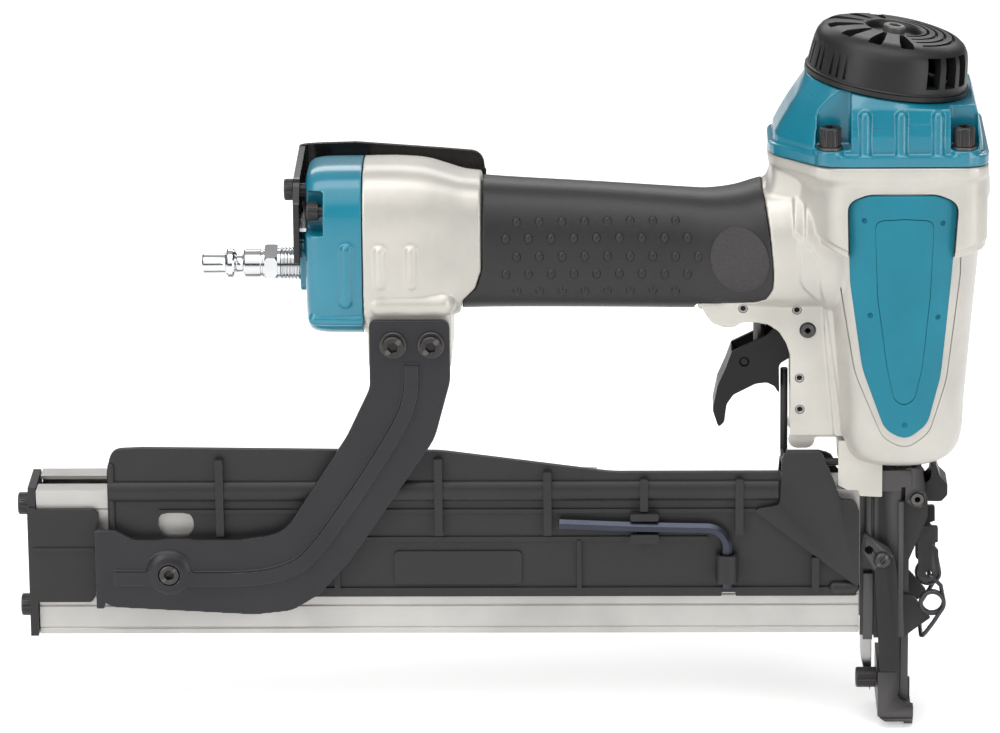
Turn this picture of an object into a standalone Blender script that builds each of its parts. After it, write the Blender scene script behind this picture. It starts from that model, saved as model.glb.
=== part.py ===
"""Pneumatic flooring stapler for one-inch-crown staples, built from separate pieces.

Lengths in this script are millimetres and become metres as each mesh is made.
+X points towards the nose, +Z up, and -Y is the operator's left side (the "near" side).
The origin is the middle of the contact foot's front lip, on the face that meets the floor.
"""

import math

import bmesh
import bpy
from mathutils import Matrix, Vector

MM = 0.001
GAP = 0.3
SMOOTH_ANGLE = math.radians(38.0)

# Driver and staple
STAPLE_CROWN = 25.4
STAPLE_WIRE = 1.5
DRIVE_X = -4.5
BLADE_THICKNESS = 1.5
BLADE_WIDTH = STAPLE_CROWN - 0.4
STROKE = 88.0
GUIDE_TIP_Z = 9.5

# Cylinder
SLEEVE_OUTER = 22.0
SLEEVE_INNER = 20.3
PISTON_RADIUS = 20.0
PISTON_HEIGHT = 10.0
PISTON_BOTTOM_Z = 235.0
BUMPER_BOTTOM_Z = 124.6
SLEEVE_TOP_Z = 248.0

# Housing
FLANGE_TOP_Z = 238.0
FLANGE_BOTTOM_Z = 232.5
WEB_HALF_WIDTH = 15.0
WEB_TOP_Z = 177.2
RIB_HALF_WIDTH = 9.5
TRIGGER_SLOT_HALF = 8.6
COLUMN_BOTTOM_Z = 121.0
REAR_JOINT_X = -216.5
REAR_END_X = -238.5
REAR_MID_Z = 198.0

# Head and exhaust cover
HEAD_TOP_Z = 264.0
COVER_X = -10.5
COVER_TILT = math.radians(9.0)
COVER_RADIUS = 32.4
HEAD_BOLTS = [(-33.0, -32.0), (19.0, -32.0), (-33.0, 32.0), (19.0, 32.0)]
HEAD_BASE_Z = FLANGE_TOP_Z + 0.4
HEAD_BOLT_SEAT_Z = HEAD_BASE_Z + 6.4

# Trigger and valve
TRIGGER_PIVOT = (-41.0, 166.0)
LEVER_PIVOT = (-66.0, 151.0)
VALVE_X = -60.0

# Magazine
MAG_REAR_X = -349.5
MAG_FRONT_X = -20.0
MAG_BOTTOM_Z = 39.5
MAG_TOP_Z = 100.0
MAG_HALF = 15.0
CAVITY_HALF = 13.2
CAVITY_TOP_Z = 98.3
CAVITY_BOTTOM_Z = 45.0
FAR_LIP_END_X = -125.0
FAR_LIP_FLOOR_Z = 97.0
CORE_HALF = STAPLE_CROWN / 2 - STAPLE_WIRE - 0.1
CORE_TOP_Z = 95.8
PLATE_IN = MAG_HALF + GAP
COVER_FACE = 17.9

# Strap between magazine and handle
STRAP_IN = 21.6
STRAP_OUT = 24.0
STRAP_BOLTS = [(-205.0, 163.0), (-190.0, 163.0)]
STRAP_PIN = (-296.0, 68.0)

# Nose
NOSE_HALF = 14.5
FOOT_HALF = 17.2
FOOT_HEIGHT = 24.0
FOOT_REAR_X = -12.3
FOOT_SCREW = (-10.8, 19.0)
CONTACT_PLATE_IN = 17.5
CONTACT_PLATE_OUT = 19.5
DOOR_PIVOT = (3.0, 96.0)
ROD_RADIUS = 1.5
WIRE_RADIUS = 0.85
WIRE_PIVOT = (8.0, 64.0)
WIRE_COIL = (9.2, 53.6)

NEAR = -1
FAR = 1


# ---------------------------------------------------------------- materials
def material(name, colour, roughness, metallic=0.0):
    mat = bpy.data.materials.new(name)
    mat.use_nodes = True
    shader = mat.node_tree.nodes["Principled BSDF"]
    shader.inputs["Base Color"].default_value = (*colour, 1.0)
    shader.inputs["Roughness"].default_value = roughness
    shader.inputs["Metallic"].default_value = metallic
    return mat


# ---------------------------------------------------------------- mesh tools
def add_object(name, bm, mat):
    """Turn a bmesh drawn in millimetres into an object in metres."""
    bmesh.ops.scale(bm, vec=(MM, MM, MM), verts=bm.verts)
    bmesh.ops.recalc_face_normals(bm, faces=bm.faces)
    mesh = bpy.data.meshes.new(name)
    bm.to_mesh(mesh)
    bm.free()
    mesh.materials.append(mat)
    mesh.shade_smooth()
    mesh.set_sharp_from_angle(angle=SMOOTH_ANGLE)
    obj = bpy.data.objects.new(name, mesh)
    bpy.context.scene.collection.objects.link(obj)
    return obj


def loft(name, rings, mat, closed=False):
    """Join rings of equal length; cap both ends, or close the loop of rings."""
    bm = bmesh.new()
    loops = [[bm.verts.new(point) for point in ring] for ring in rings]
    pairs = list(zip(loops, loops[1:]))
    if closed:
        pairs.append((loops[-1], loops[0]))
    count = len(loops[0])
    for first, second in pairs:
        for i in range(count):
            j = (i + 1) % count
            bm.faces.new((first[i], first[j], second[j], second[i]))
    if not closed:
        bm.faces.new(list(reversed(loops[0])))
        bm.faces.new(loops[-1])
    return add_object(name, bm, mat)


def to_space(axis, u, v, w):
    """Place outline point (u, v) at height w along the extrusion axis."""
    if axis == "X":
        return (w, u, v)
    if axis == "Y":
        return (u, w, v)
    return (u, v, w)


def prism(name, outline, axis, low, high, mat):
    rings = [[to_space(axis, u, v, w) for u, v in outline] for w in (low, high)]
    return loft(name, rings, mat)


def box(name, low, high, mat):
    outline = [(low[0], low[1]), (high[0], low[1]), (high[0], high[1]), (low[0], high[1])]
    return prism(name, outline, "Z", low[2], high[2], mat)


def rounded(corners, steps=3):
    """Outline from (u, v, radius) corners; each radius becomes an arc."""
    points = []
    count = len(corners)
    for i, (u, v, radius) in enumerate(corners):
        if radius <= 0:
            points.append((u, v))
            continue
        here = Vector((u, v))
        back = Vector(corners[i - 1][:2]) - here
        ahead = Vector(corners[(i + 1) % count][:2]) - here
        half = back.angle(ahead) / 2
        reach = min(radius / math.tan(half), 0.49 * back.length, 0.49 * ahead.length)
        start = here + back.normalized() * reach
        end = here + ahead.normalized() * reach
        for k in range(steps + 1):
            t = k / steps
            curve = start * (1 - t) ** 2 + here * 2 * t * (1 - t) + end * t ** 2
            points.append((curve.x, curve.y))
    return points


def oval(mid_u, mid_v, half_u, half_v, count=24, power=2.0):
    """Superellipse outline; power 2 is an ellipse, more is squarer."""
    points = []
    for i in range(count):
        angle = 2 * math.pi * (i + 0.5) / count
        c, s = math.cos(angle), math.sin(angle)
        u = math.copysign(abs(c) ** (2 / power), c)
        v = math.copysign(abs(s) ** (2 / power), s)
        points.append((mid_u + half_u * u, mid_v + half_v * v))
    return points


def turned(name, profile, centre, axis, mat, segments=16, hollow=False):
    """Revolve (radius, height) points about an axis through centre; hollow joins last to first."""
    direction = Vector(axis).normalized()
    turn = Vector((0, 0, 1)).rotation_difference(direction).to_matrix()
    rings = []
    for radius, height in profile:
        ring = []
        for i in range(segments):
            angle = 2 * math.pi * (i + 0.5) / segments
            local = Vector((radius * math.cos(angle), radius * math.sin(angle), height))
            ring.append(Vector(centre) + turn @ local)
        rings.append(ring)
    return loft(name, rings, mat, closed=hollow)


def swept(name, path, radius, mat, sides=8):
    """Round or hexagonal bar along a path, with flat ends."""
    points = [Vector(p) for p in path]
    tangents = []
    for i in range(len(points)):
        before = points[max(i - 1, 0)]
        after = points[min(i + 1, len(points) - 1)]
        tangents.append((after - before).normalized())
    normal = tangents[0].orthogonal().normalized()
    rings = []
    for i, (point, tangent) in enumerate(zip(points, tangents)):
        if i:
            normal = tangents[i - 1].rotation_difference(tangent) @ normal
        side = tangent.cross(normal)
        ring = []
        for k in range(sides):
            angle = 2 * math.pi * (k + 0.5) / sides
            ring.append(point + radius * (math.cos(angle) * normal + math.sin(angle) * side))
        rings.append(ring)
    return loft(name, rings, mat)


def combine(target, operation, *others):
    """Boolean others into target; the others become hidden guides."""
    for other in others:
        modifier = target.modifiers.new(other.name, "BOOLEAN")
        modifier.operation = operation
        modifier.object = other
        other.hide_render = True
        other.display_type = "WIRE"
    return target


def join(target, *others):
    return combine(target, "UNION", *others)


def cut(target, *others):
    return combine(target, "DIFFERENCE", *others)


def pivot(name, point):
    """Empty on a joint's axis; moving pieces hang from it."""
    empty = bpy.data.objects.new(name, None)
    empty.location = [value * MM for value in point]
    bpy.context.scene.collection.objects.link(empty)
    return empty


def hang(empty, *pieces):
    for piece in pieces:
        piece.data.transform(Matrix.Translation(-empty.location))
        piece.parent = empty


def side_prism(name, outline, side, inner, outer, mat):
    """Plate parallel to the XZ plane on one side of the tool."""
    low, high = sorted((side * inner, side * outer))
    return prism(name, outline, "Y", low, high, mat)


def cap_screw(name, seat, axis, head_radius, head_height, shank_radius, shank_length, mat):
    """Cylinder-head screw; seat is under the head and axis points out of the head."""
    profile = [
        (shank_radius, -shank_length),
        (shank_radius, 0.0),
        (head_radius, 0.0),
        (head_radius, head_height - 0.5),
        (head_radius - 0.5, head_height),
    ]
    return turned(name, profile, seat, axis, mat, segments=12)


def drill(name, seat, axis, radius, depth, rise, mat):
    """Round cutter from depth below the seat to rise above it."""
    return turned(name, [(radius, -depth), (radius, rise)], seat, axis, mat, segments=12)


# ---------------------------------------------------------------- housing
BARREL_STATIONS = [
    # height, middle X, half length, half width
    (109.0, -4.5, 12.0, 19.0),
    (113.0, -4.5, 21.0, 24.0),
    (121.0, -4.5, 25.5, 28.0),
    (135.0, -4.5, 26.0, 30.5),
    (165.0, -4.5, 28.5, 33.0),
    (200.0, -4.5, 31.5, 34.5),
    (222.0, -5.0, 33.0, 35.5),
    (235.0, -5.0, 33.0, 35.5),
]

GRIP_STATIONS = [
    # X, middle height, half height, half width
    (-186.0, 200.0, 27.5, 21.5),
    (-165.0, 199.5, 26.5, 20.0),
    (-123.0, 198.0, 25.2, 19.0),
    (-90.0, 197.0, 24.5, 19.5),
    (-70.0, 197.0, 25.0, 22.0),
    (-50.0, 199.0, 27.0, 25.0),
]

FLANGE_OUTLINE = [
    (29.0, -38.0, 10.0),
    (29.0, 38.0, 10.0),
    (-36.0, 38.0, 18.0),
    (-57.0, 15.0, 16.0),
    (-57.0, -15.0, 16.0),
    (-36.0, -38.0, 18.0),
]


def barrel(name, grow, mat):
    rings = []
    for height, mid, half_x, half_y in BARREL_STATIONS:
        outline = oval(mid, 0.0, half_x + grow, half_y + grow, count=28, power=2.5)
        rings.append([(x, y, height) for x, y in outline])
    return loft(name, rings, mat)


def handle_tube(name, shrink, mat):
    rings = []
    for x, mid, half_z, half_y in GRIP_STATIONS:
        outline = oval(0.0, mid, half_y - shrink, half_z - shrink, count=20, power=2.5)
        rings.append([(x, y, z) for y, z in outline])
    return loft(name, rings, mat)


def rear_block(name, stations, mat):
    rings = []
    for x, mid, half_z, half_y in stations:
        rings.append([(x, y, z) for y, z in oval(0.0, mid, half_y, half_z, count=24, power=3.6)])
    return loft(name, rings, mat)


def make_housing(mats):
    """Cylinder barrel, hollow handle, trigger column and rear collar in one casting."""
    white = mats["silver"]
    housing = barrel("main_housing", 0.0, white)
    flange = prism("add_flange", rounded(FLANGE_OUTLINE), "Z", FLANGE_BOTTOM_Z, FLANGE_TOP_Z, white)
    web_outline = [
        (-84.0, WEB_TOP_Z), (-81.1, 171.9), (-78.8, 169.2), (-74.2, 167.2), (-70.2, 167.2),
        (-67.0, 169.0), (-57.1, 168.4), (-52.5, 165.3), (-49.6, 160.5), (-48.0, 155.0),
        (-48.0, COLUMN_BOTTOM_Z), (-12.0, COLUMN_BOTTOM_Z), (-5.0, 140.0), (-5.0, 234.0),
        (-50.0, 234.0), (-54.0, 227.0), (-54.0, WEB_TOP_Z),
    ]
    web = prism("add_web", web_outline, "Y", -WEB_HALF_WIDTH, WEB_HALF_WIDTH, white)
    rib = box("add_web_rib", (-84.0, -RIB_HALF_WIDTH, WEB_TOP_Z - 4.0), (-50.0, RIB_HALF_WIDTH, 190.0), white)
    post = box("add_post", (-29.0, -12.2, 101.0), (-12.0, 12.2, 124.0), white)
    post_wall = side_prism("add_post_wall", [
        (-28.7, 121.0), (-28.7, 102.5), (-24.8, 100.5), (-20.8, 100.5), (-20.0, 98.0), (-11.2, 97.6), (-11.2, 121.0),
    ], NEAR, 17.5, 18.1, white)
    core = handle_tube("add_handle_core", 3.0 + GAP, white)
    collar = rear_block("add_collar", [
        (REAR_JOINT_X, REAR_MID_Z, 34.0, 24.0),
        (-192.0, 199.0, 32.5, 24.0),
        (-182.0, 199.5, 29.5, 22.5),
        (-170.0, 199.7, 26.5, 20.5),
    ], white)
    boss_outline = rounded([(-215.0, 152.0, 3), (-182.0, 152.0, 3), (-182.0, 182.0, 3), (-215.0, 182.0, 3)])
    boss = prism("add_strap_boss", boss_outline, "Y", -(STRAP_IN - GAP), STRAP_IN - GAP, white)
    join(housing, flange, web, rib, post, post_wall, core, collar, boss)

    bore = turned("cut_bore", [(SLEEVE_OUTER + GAP, BUMPER_BOTTOM_Z - GAP), (SLEEVE_OUTER + GAP, 250.0)],
                  (DRIVE_X, 0, 0), (0, 0, 1), white, segments=28)
    slot_half = BLADE_WIDTH / 2 + GAP
    blade_slot = box("cut_blade_slot", (DRIVE_X - 1.1, -slot_half, 90.0), (DRIVE_X + 1.1, slot_half, 130.0), white)
    air = rear_block("cut_air_chamber", [
        (-230.0, 199.0, 17.0, 13.0), (-180.0, 199.0, 16.0, 12.5), (-100.0, 197.5, 15.0, 11.0),
        (-48.0, 203.0, 13.0, 11.0),
    ], white)
    trigger_slot = box("cut_trigger_slot", (-90.0, -TRIGGER_SLOT_HALF, 139.0),
                       (-34.5, TRIGGER_SLOT_HALF, 175.0), white)
    valve_bore = turned("cut_valve_bore", [(7.0 + GAP, 173.0), (7.0 + GAP, 192.0)],
                        (VALVE_X, 0, 0), (0, 0, 1), white, segments=14)
    rod_groove = box("cut_rod_groove", (-60.0, -17.5, 100.0), (-13.0, -13.0, 122.3), white)
    pin_hole = turned("cut_trigger_pin", [(3.0 + GAP, -30.0), (3.0 + GAP, 30.0)],
                      (TRIGGER_PIVOT[0], 0, TRIGGER_PIVOT[1]), (0, 1, 0), white, segments=12)
    cut(housing, bore, blade_slot, air, trigger_slot, valve_bore, rod_groove, pin_hole)
    for i, (x, y) in enumerate(HEAD_BOLTS):
        cut(housing, drill(f"cut_head_bolt_{i}", (x, y, 241.0), (0, 0, 1), 2.9, 20.0, 10.0, white))
    for i, (x, z) in enumerate(STRAP_BOLTS):
        cut(housing, drill(f"cut_strap_bolt_{i}", (x, -STRAP_OUT, z), (0, NEAR, 0), 2.9, 13.0, 5.0, white))
    for side in (NEAR, FAR):
        bolt_y = side * 16.5
        cut(housing, drill(f"cut_rear_bolt_{side}", (-234.0, bolt_y, 216.0), (-1, 0, 0), 2.9, 31.0, 5.0, white))
    return housing


def make_grip(mats):
    """Rubber sleeve round the handle, cut to its side outline and hollowed for the handle core."""
    black = mats["grip_rubber"]
    grip = handle_tube("grip_sleeve", 0.0, black)
    outline = [
        (-169.3, 232.0), (-169.3, 193.0), (-172.0, 185.0), (-177.0, 179.5), (-178.0, 175.0), (-176.0, 168.0),
        (-90.0, 168.0), (-62.0, 171.5), (-56.5, 176.0), (-54.5, 182.0), (-55.0, 190.0), (-57.5, 210.0),
        (-60.0, 221.0), (-62.0, 232.0),
    ]
    trim = prism("cut_grip_outline", outline, "Y", -40.0, 40.0, black)
    combine(grip, "INTERSECT", trim)
    inner = handle_tube("cut_grip_core", 3.0, black)
    relief = box("cut_grip_web", (-90.0, -WEB_HALF_WIDTH - GAP, 150.0), (-40.0, WEB_HALF_WIDTH + GAP, WEB_TOP_Z + GAP), black)
    rear_relief = rear_block("cut_grip_collar", [
        (-216.0, REAR_MID_Z, 34.0 + GAP, 24.0 + GAP),
        (-192.0, 199.0, 32.5 + GAP, 24.0 + GAP),
        (-182.0, 199.5, 29.5 + GAP, 22.5 + GAP),
        (-169.7, 199.7, 26.5 + GAP, 20.5 + GAP),
    ], black)
    barrel_relief = barrel("cut_grip_barrel", GAP, black)
    cut(grip, inner, relief, rear_relief, barrel_relief)
    return grip


def make_side_pad(name, side, mats):
    """Rubber pad that follows the barrel's side."""
    teal = mats["teal_rubber"]
    outline = rounded([
        (-26.0, 225.0, 8), (-5.0, 227.0, 20), (17.0, 224.0, 8), (14.5, 190.0, 60), (11.0, 152.0, 40),
        (6.0, 132.0, 8), (-2.0, 125.0, 8), (-11.0, 130.0, 8), (-20.0, 155.0, 40), (-25.0, 190.0, 60),
    ], steps=2)
    pad = side_prism(name, outline, side, 20.0, 60.0, teal)
    combine(pad, "INTERSECT", barrel(f"cut_{name}_outer", 2.6, teal))
    cut(pad, barrel(f"cut_{name}_inner", GAP, teal))
    return pad


# ---------------------------------------------------------------- head and cover
def cover_axis():
    return Vector((math.sin(COVER_TILT), 0.0, math.cos(COVER_TILT)))


def cover_point(height):
    """Point on the tilted axis of the exhaust cover, height above the head."""
    return Vector((COVER_X, 0.0, HEAD_TOP_Z)) + cover_axis() * height


def make_head(mats):
    teal = mats["teal_paint"]
    base = HEAD_BASE_Z
    head = prism("cylinder_head", rounded(FLANGE_OUTLINE), "Z", base, base + 3.0, teal)
    rings = []
    for height, mid, half_x, half_y, power in [
        (base + 1.0, -13.0, 41.6, 35.6, 2.15),
        (246.0, -13.0, 40.6, 35.3, 2.2),
        (253.0, -12.0, 38.0, 34.5, 2.2),
        (259.0, -11.5, 34.5, 33.0, 2.1),
    ]:
        rings.append([(x, y, height) for x, y in oval(mid, 0.0, half_x, half_y, count=28, power=power)])
    slope = math.tan(COVER_TILT)
    rings.append([(x, y, HEAD_TOP_Z - GAP - (x - COVER_X) * slope)
                  for x, y in oval(COVER_X, 0.0, 32.0, 32.0, count=28)])
    body = loft("add_head_body", rings, teal)
    stem = turned("add_cover_stem", [(7.0, -4.0), (7.0, 15.6)], cover_point(0.0), cover_axis(), teal, segments=16)
    join(head, body, stem)
    for i, (x, y) in enumerate(HEAD_BOLTS):
        ear = turned(f"add_ear_{i}", [(6.6, HEAD_BASE_Z + 0.5), (6.0, HEAD_BOLT_SEAT_Z + 1.0)], (x, y, 0), (0, 0, 1),
                     teal, segments=14)
        join(head, ear)
    cavity = turned("cut_head_cavity", [(23.0, 230.0), (23.0, 256.8)], (DRIVE_X, 0, 0), (0, 0, 1), teal,
                    segments=24)
    vents = [turned(f"cut_head_vent_{i}", [(3.5, 250.0), (3.5, 275.0)],
                    (DRIVE_X + 15.0 * math.cos(a), 15.0 * math.sin(a), 0), (0, 0, 1), teal, segments=10)
             for i, a in enumerate((math.radians(60), math.radians(180), math.radians(300)))]
    thread = drill("cut_cover_bolt", cover_point(20.0), cover_axis(), 2.9, 20.0, 5.0, teal)
    cut(head, cavity, *vents, thread)
    for i, (x, y) in enumerate(HEAD_BOLTS):
        cut(head, drill(f"cut_bolt_pocket_{i}", (x, y, HEAD_BOLT_SEAT_Z), (0, 0, 1), 6.3, 0.0, 40.0, teal))
        cut(head, drill(f"cut_bolt_shank_{i}", (x, y, HEAD_BOLT_SEAT_Z), (0, 0, 1), 2.9, 12.0, 1.0, teal))
    return head


def make_exhaust_cover(mats):
    """Turned cap with side windows and radial slots; it turns on its centre bolt."""
    black = mats["black_plastic"]
    profile = [
        (COVER_RADIUS, 0.0), (COVER_RADIUS, 2.6), (31.6, 3.0), (30.2, 14.0), (28.4, 17.8), (24.0, 20.4),
        (10.0, 21.4), (9.0, 21.4), (9.0, 18.4), (3.2, 18.4), (3.2, 15.8), (22.5, 15.8), (26.4, 13.2), (28.6, 0.0),
    ]
    cover = turned("exhaust_cover", profile, cover_point(0.4), cover_axis(), black, segments=32, hollow=True)
    turn = Vector((0, 0, 1)).rotation_difference(cover_axis()).to_matrix().to_4x4()
    frame = Matrix.Translation(cover_point(0.0)) @ turn

    def placed(obj):
        matrix = Matrix.Scale(MM, 4) @ frame @ Matrix.Scale(1 / MM, 4)
        obj.data.transform(matrix)
        return obj

    for i, angle in enumerate((-62.0, -44.0, -26.0)):
        window = box(f"cut_window_{i}", (20.0, -2.9, 4.8), (40.0, 2.9, 13.0), black)
        window.data.transform(Matrix.Rotation(math.radians(angle), 4, "Z"))
        cut(cover, placed(window))
    for i in range(8):
        slot_outline = [(12.5, -0.9), (22.5, -2.4), (22.5, 2.4), (12.5, 0.9)]
        slot = prism(f"cut_slot_{i}", slot_outline, "Z", 14.0, 30.0, black)
        slot.data.transform(Matrix.Rotation(math.radians(100.0 + 24.0 * i), 4, "Z"))
        cut(cover, placed(slot))
    return cover


# ---------------------------------------------------------------- rear end
def make_rear_cap(mats):
    teal = mats["teal_paint"]
    cap = rear_block("rear_cap", [
        (REAR_END_X, REAR_MID_Z, 30.5, 20.0),
        (-236.0, REAR_MID_Z, 33.0, 22.8),
        (-230.0, REAR_MID_Z, 34.0, 24.0),
        (REAR_JOINT_X - GAP, REAR_MID_Z, 34.0, 24.0),
    ], teal)
    boss = turned("add_inlet_boss", [(9.5, 0.0), (9.5, 6.0)], (-236.0, 0, 190.0), (-1, 0, 0), teal, segments=16)
    join(cap, boss)
    inner = rear_block("cut_cap_inside", [
        (-233.0, 199.0, 17.0, 13.0), (-210.0, 199.0, 17.0, 13.0),
    ], teal)
    inlet = drill("cut_inlet", (-236.0, 0, 190.0), (-1, 0, 0), 6.9, 12.0, 15.0, teal)
    cut(cap, inner, inlet)
    for side in (NEAR, FAR):
        low, high = sorted((side * 11.0, side * 30.0))
        cut(cap, box(f"cut_cap_pocket_{side}", (-245.0, low, 209.0), (-233.8, high, 224.0), teal))
        cut(cap, drill(f"cut_cap_bolt_{side}", (-234.0, side * 16.5, 216.0), (-1, 0, 0), 2.9, 25.0, 5.0, teal))
    cut(cap, drill("cut_hook_thread", (-242.0, -6.0, 222.0), (-1, 0, 0), 2.9, 15.0, 5.0, teal))
    return cap


def make_air_plug(mats):
    profile = [
        (2.6, 41.0), (4.0, 41.0), (4.0, 30.5), (5.9, 29.5), (5.9, 27.0), (3.7, 25.5), (3.7, 23.0),
        (5.6, 22.5), (5.6, 14.2), (7.4, 14.0), (7.4, 9.0), (6.5, 8.8), (6.5, -6.0), (2.6, -6.0),
    ]
    plug = turned("air_plug", profile, (-240.5, 0, 190.0), (-1, 0, 0), mats["chrome"], segments=18, hollow=True)
    return plug


def make_hook(mats):
    """Flat steel hook: a plate across the rear cap, bent forward along the far side."""
    black = mats["black_steel"]
    plan = [
        (-244.0, -18.0), (-241.5, -18.0), (-241.5, 33.0), (-240.5, 34.5), (-169.0, 34.5),
        (-169.0, 37.0), (-241.5, 37.0), (-244.0, 34.0),
    ]
    hook = prism("hanging_hook", plan, "Z", 195.0, 231.0, black)
    below = rounded([(-238.0, 190.0, 0), (-160.0, 190.0, 0), (-160.0, 206.0, 0), (-230.0, 206.0, 8),
                     (-238.0, 201.0, 4)])
    above = [(-246.0, 229.5), (-236.0, 230.2), (-221.0, 230.6), (-187.0, 228.0), (-173.0, 226.8),
             (-170.0, 224.0), (-169.4, 219.0), (-160.0, 219.0), (-160.0, 240.0), (-246.0, 240.0)]
    cut(hook, prism("cut_hook_below", below, "Y", 25.0, 50.0, black))
    cut(hook, prism("cut_hook_above", above, "Y", 25.0, 50.0, black))
    corner = [(-26.0, 218.0), (-18.5, 218.0), (-12.0, 227.5), (34.0, 229.5), (34.0, 240.0), (-26.0, 240.0)]
    cut(hook, prism("cut_hook_corner", corner, "X", -250.0, -238.0, black))
    cut(hook, drill("cut_hook_hole", (-244.0, -6.0, 222.0), (-1, 0, 0), 2.9, 10.0, 5.0, black))
    cut(hook, drill("cut_hook_inlet", (-244.0, 0.0, 190.0), (-1, 0, 0), 9.8, 10.0, 5.0, black))
    return hook


# ---------------------------------------------------------------- strap and magazine
STRAP_OUTLINE = [
    # Upper edge, from the handle down to the magazine, then back along the lower edge
    (-214.5, 173.0, 3), (-214.5, 145.0, 12), (-224.0, 125.0, 30), (-250.0, 84.5, 16), (-268.0, 82.0, 12),
    (-310.0, 82.0, 8), (-317.0, 86.0, 3), (-324.0, 86.0, 1), (-324.0, 54.0, 8), (-262.0, 50.5, 18),
    (-232.0, 60.5, 14), (-216.0, 84.0, 30), (-189.0, 124.0, 24), (-182.5, 148.0, 20), (-182.5, 173.0, 4),
]


def make_strap(mats):
    """Pressed steel bracket on the near side, from the handle's boss down to the magazine."""
    black = mats["black_steel"]
    strap = side_prism("strap_bracket", rounded(STRAP_OUTLINE, steps=4), NEAR, STRAP_IN, STRAP_OUT, black)
    tab = [(-325.6, 53.0), (-322.6, 53.0), (-322.6, 86.0), (-325.6, 86.0)]
    join(strap, side_prism("add_strap_tab", tab, NEAR, COVER_FACE + 0.4, STRAP_OUT - 0.3, black))
    for i, (x, z) in enumerate(STRAP_BOLTS + [STRAP_PIN]):
        radius = 2.9 if i < len(STRAP_BOLTS) else 4.4
        cut(strap, drill(f"cut_strap_{i}", (x, -STRAP_OUT, z), (0, NEAR, 0), radius, 8.0, 5.0, black))
    return strap


def make_magazine(mats):
    """Hollow aluminium extrusion, open along the top for the pusher's finger."""
    alloy = mats["aluminium"]
    half = [
        (5.5, MAG_TOP_Z), (MAG_HALF, MAG_TOP_Z), (MAG_HALF, 92.5), (14.6, 92.0), (14.6, 56.0), (MAG_HALF, 55.5),
        (MAG_HALF, 52.0), (14.4, 51.5), (MAG_HALF, 51.0), (MAG_HALF, 42.5), (14.4, 42.0), (MAG_HALF, 41.5),
        (MAG_HALF, MAG_BOTTOM_Z),
    ]
    inside = [
        (CAVITY_HALF, CAVITY_BOTTOM_Z), (CAVITY_HALF, CAVITY_TOP_Z), (5.5, CAVITY_TOP_Z),
    ]
    right = [(-y, z) for y, z in half]
    outline = half + right[::-1] + [(-y, z) for y, z in inside[::-1]] + inside
    body = prism("magazine_body", outline, "X", MAG_REAR_X, MAG_FRONT_X, alloy)
    cut(body, box("cut_far_lip", (FAR_LIP_END_X, 4.0, FAR_LIP_FLOOR_Z), (MAG_FRONT_X + 1.0, 20.0, 105.0), alloy))
    x, z = STRAP_PIN
    return cut(body, drill("cut_magazine_pin", (x, -MAG_HALF, z), (0, NEAR, 0), 2.4, 4.0, 5.0, alloy))


def make_end_cap(mats):
    """Plate across the magazine's rear end with a wing along each side."""
    black = mats["black_plastic"]
    rear = MAG_REAR_X - GAP
    cap = box("magazine_end_cap", (rear - 3.2, -17.6, 39.5), (rear, 17.6, 100.5), black)
    wing = rounded([(rear - 2.0, 55.0, 0), (-329.0, 55.0, 2), (-326.2, 58.0, 2), (-326.2, 92.5, 2),
                    (rear - 2.0, 92.5, 0)])
    for side in (NEAR, FAR):
        join(cap, side_prism(f"add_wing_{side}", wing, side, PLATE_IN, 17.6, black))
        corner = [(side * 15.4, 93.5), (side * 20.0, 93.5), (side * 20.0, 104.0), (side * 11.0, 104.0)]
        cut(cap, prism(f"cut_cap_corner_{side}", corner, "X", rear - 6.0, rear + 3.0, black))
    for i, z in enumerate((90.0, 47.0)):
        cut(cap, drill(f"cut_end_bolt_{i}", (rear - 3.2, 0, z), (-1, 0, 0), 2.4, 8.0, 5.0, black))
    return cap


def make_core(mats):
    """Inverted channel that the staples straddle, slotted along its top for the pusher's tongue."""
    steel = mats["bright_steel"]
    bottom = CAVITY_BOTTOM_Z + GAP
    inner = CORE_HALF - 1.6
    outline = [(-CORE_HALF, bottom), (-CORE_HALF, CORE_TOP_Z), (CORE_HALF, CORE_TOP_Z), (CORE_HALF, bottom),
               (inner, bottom), (inner, CORE_TOP_Z - 2.0), (-inner, CORE_TOP_Z - 2.0), (-inner, bottom)]
    core = prism("staple_core", outline, "X", MAG_REAR_X + 2.0, DRIVE_X - 1.6, steel)
    slot = box("cut_core_slot", (MAG_REAR_X + 12.0, -2.2, 80.0), (-30.0, 2.2, 110.0), steel)
    return cut(core, slot)


COVER_RIBS = [
    # X, lowest height, highest height
    (-275.5, 83.0, 114.5), (-188.0, 83.0, 114.5), (-144.5, 83.0, 109.0), (-106.0, 92.5, 105.8), (-68.0, 83.0, 105.8),
]


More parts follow.
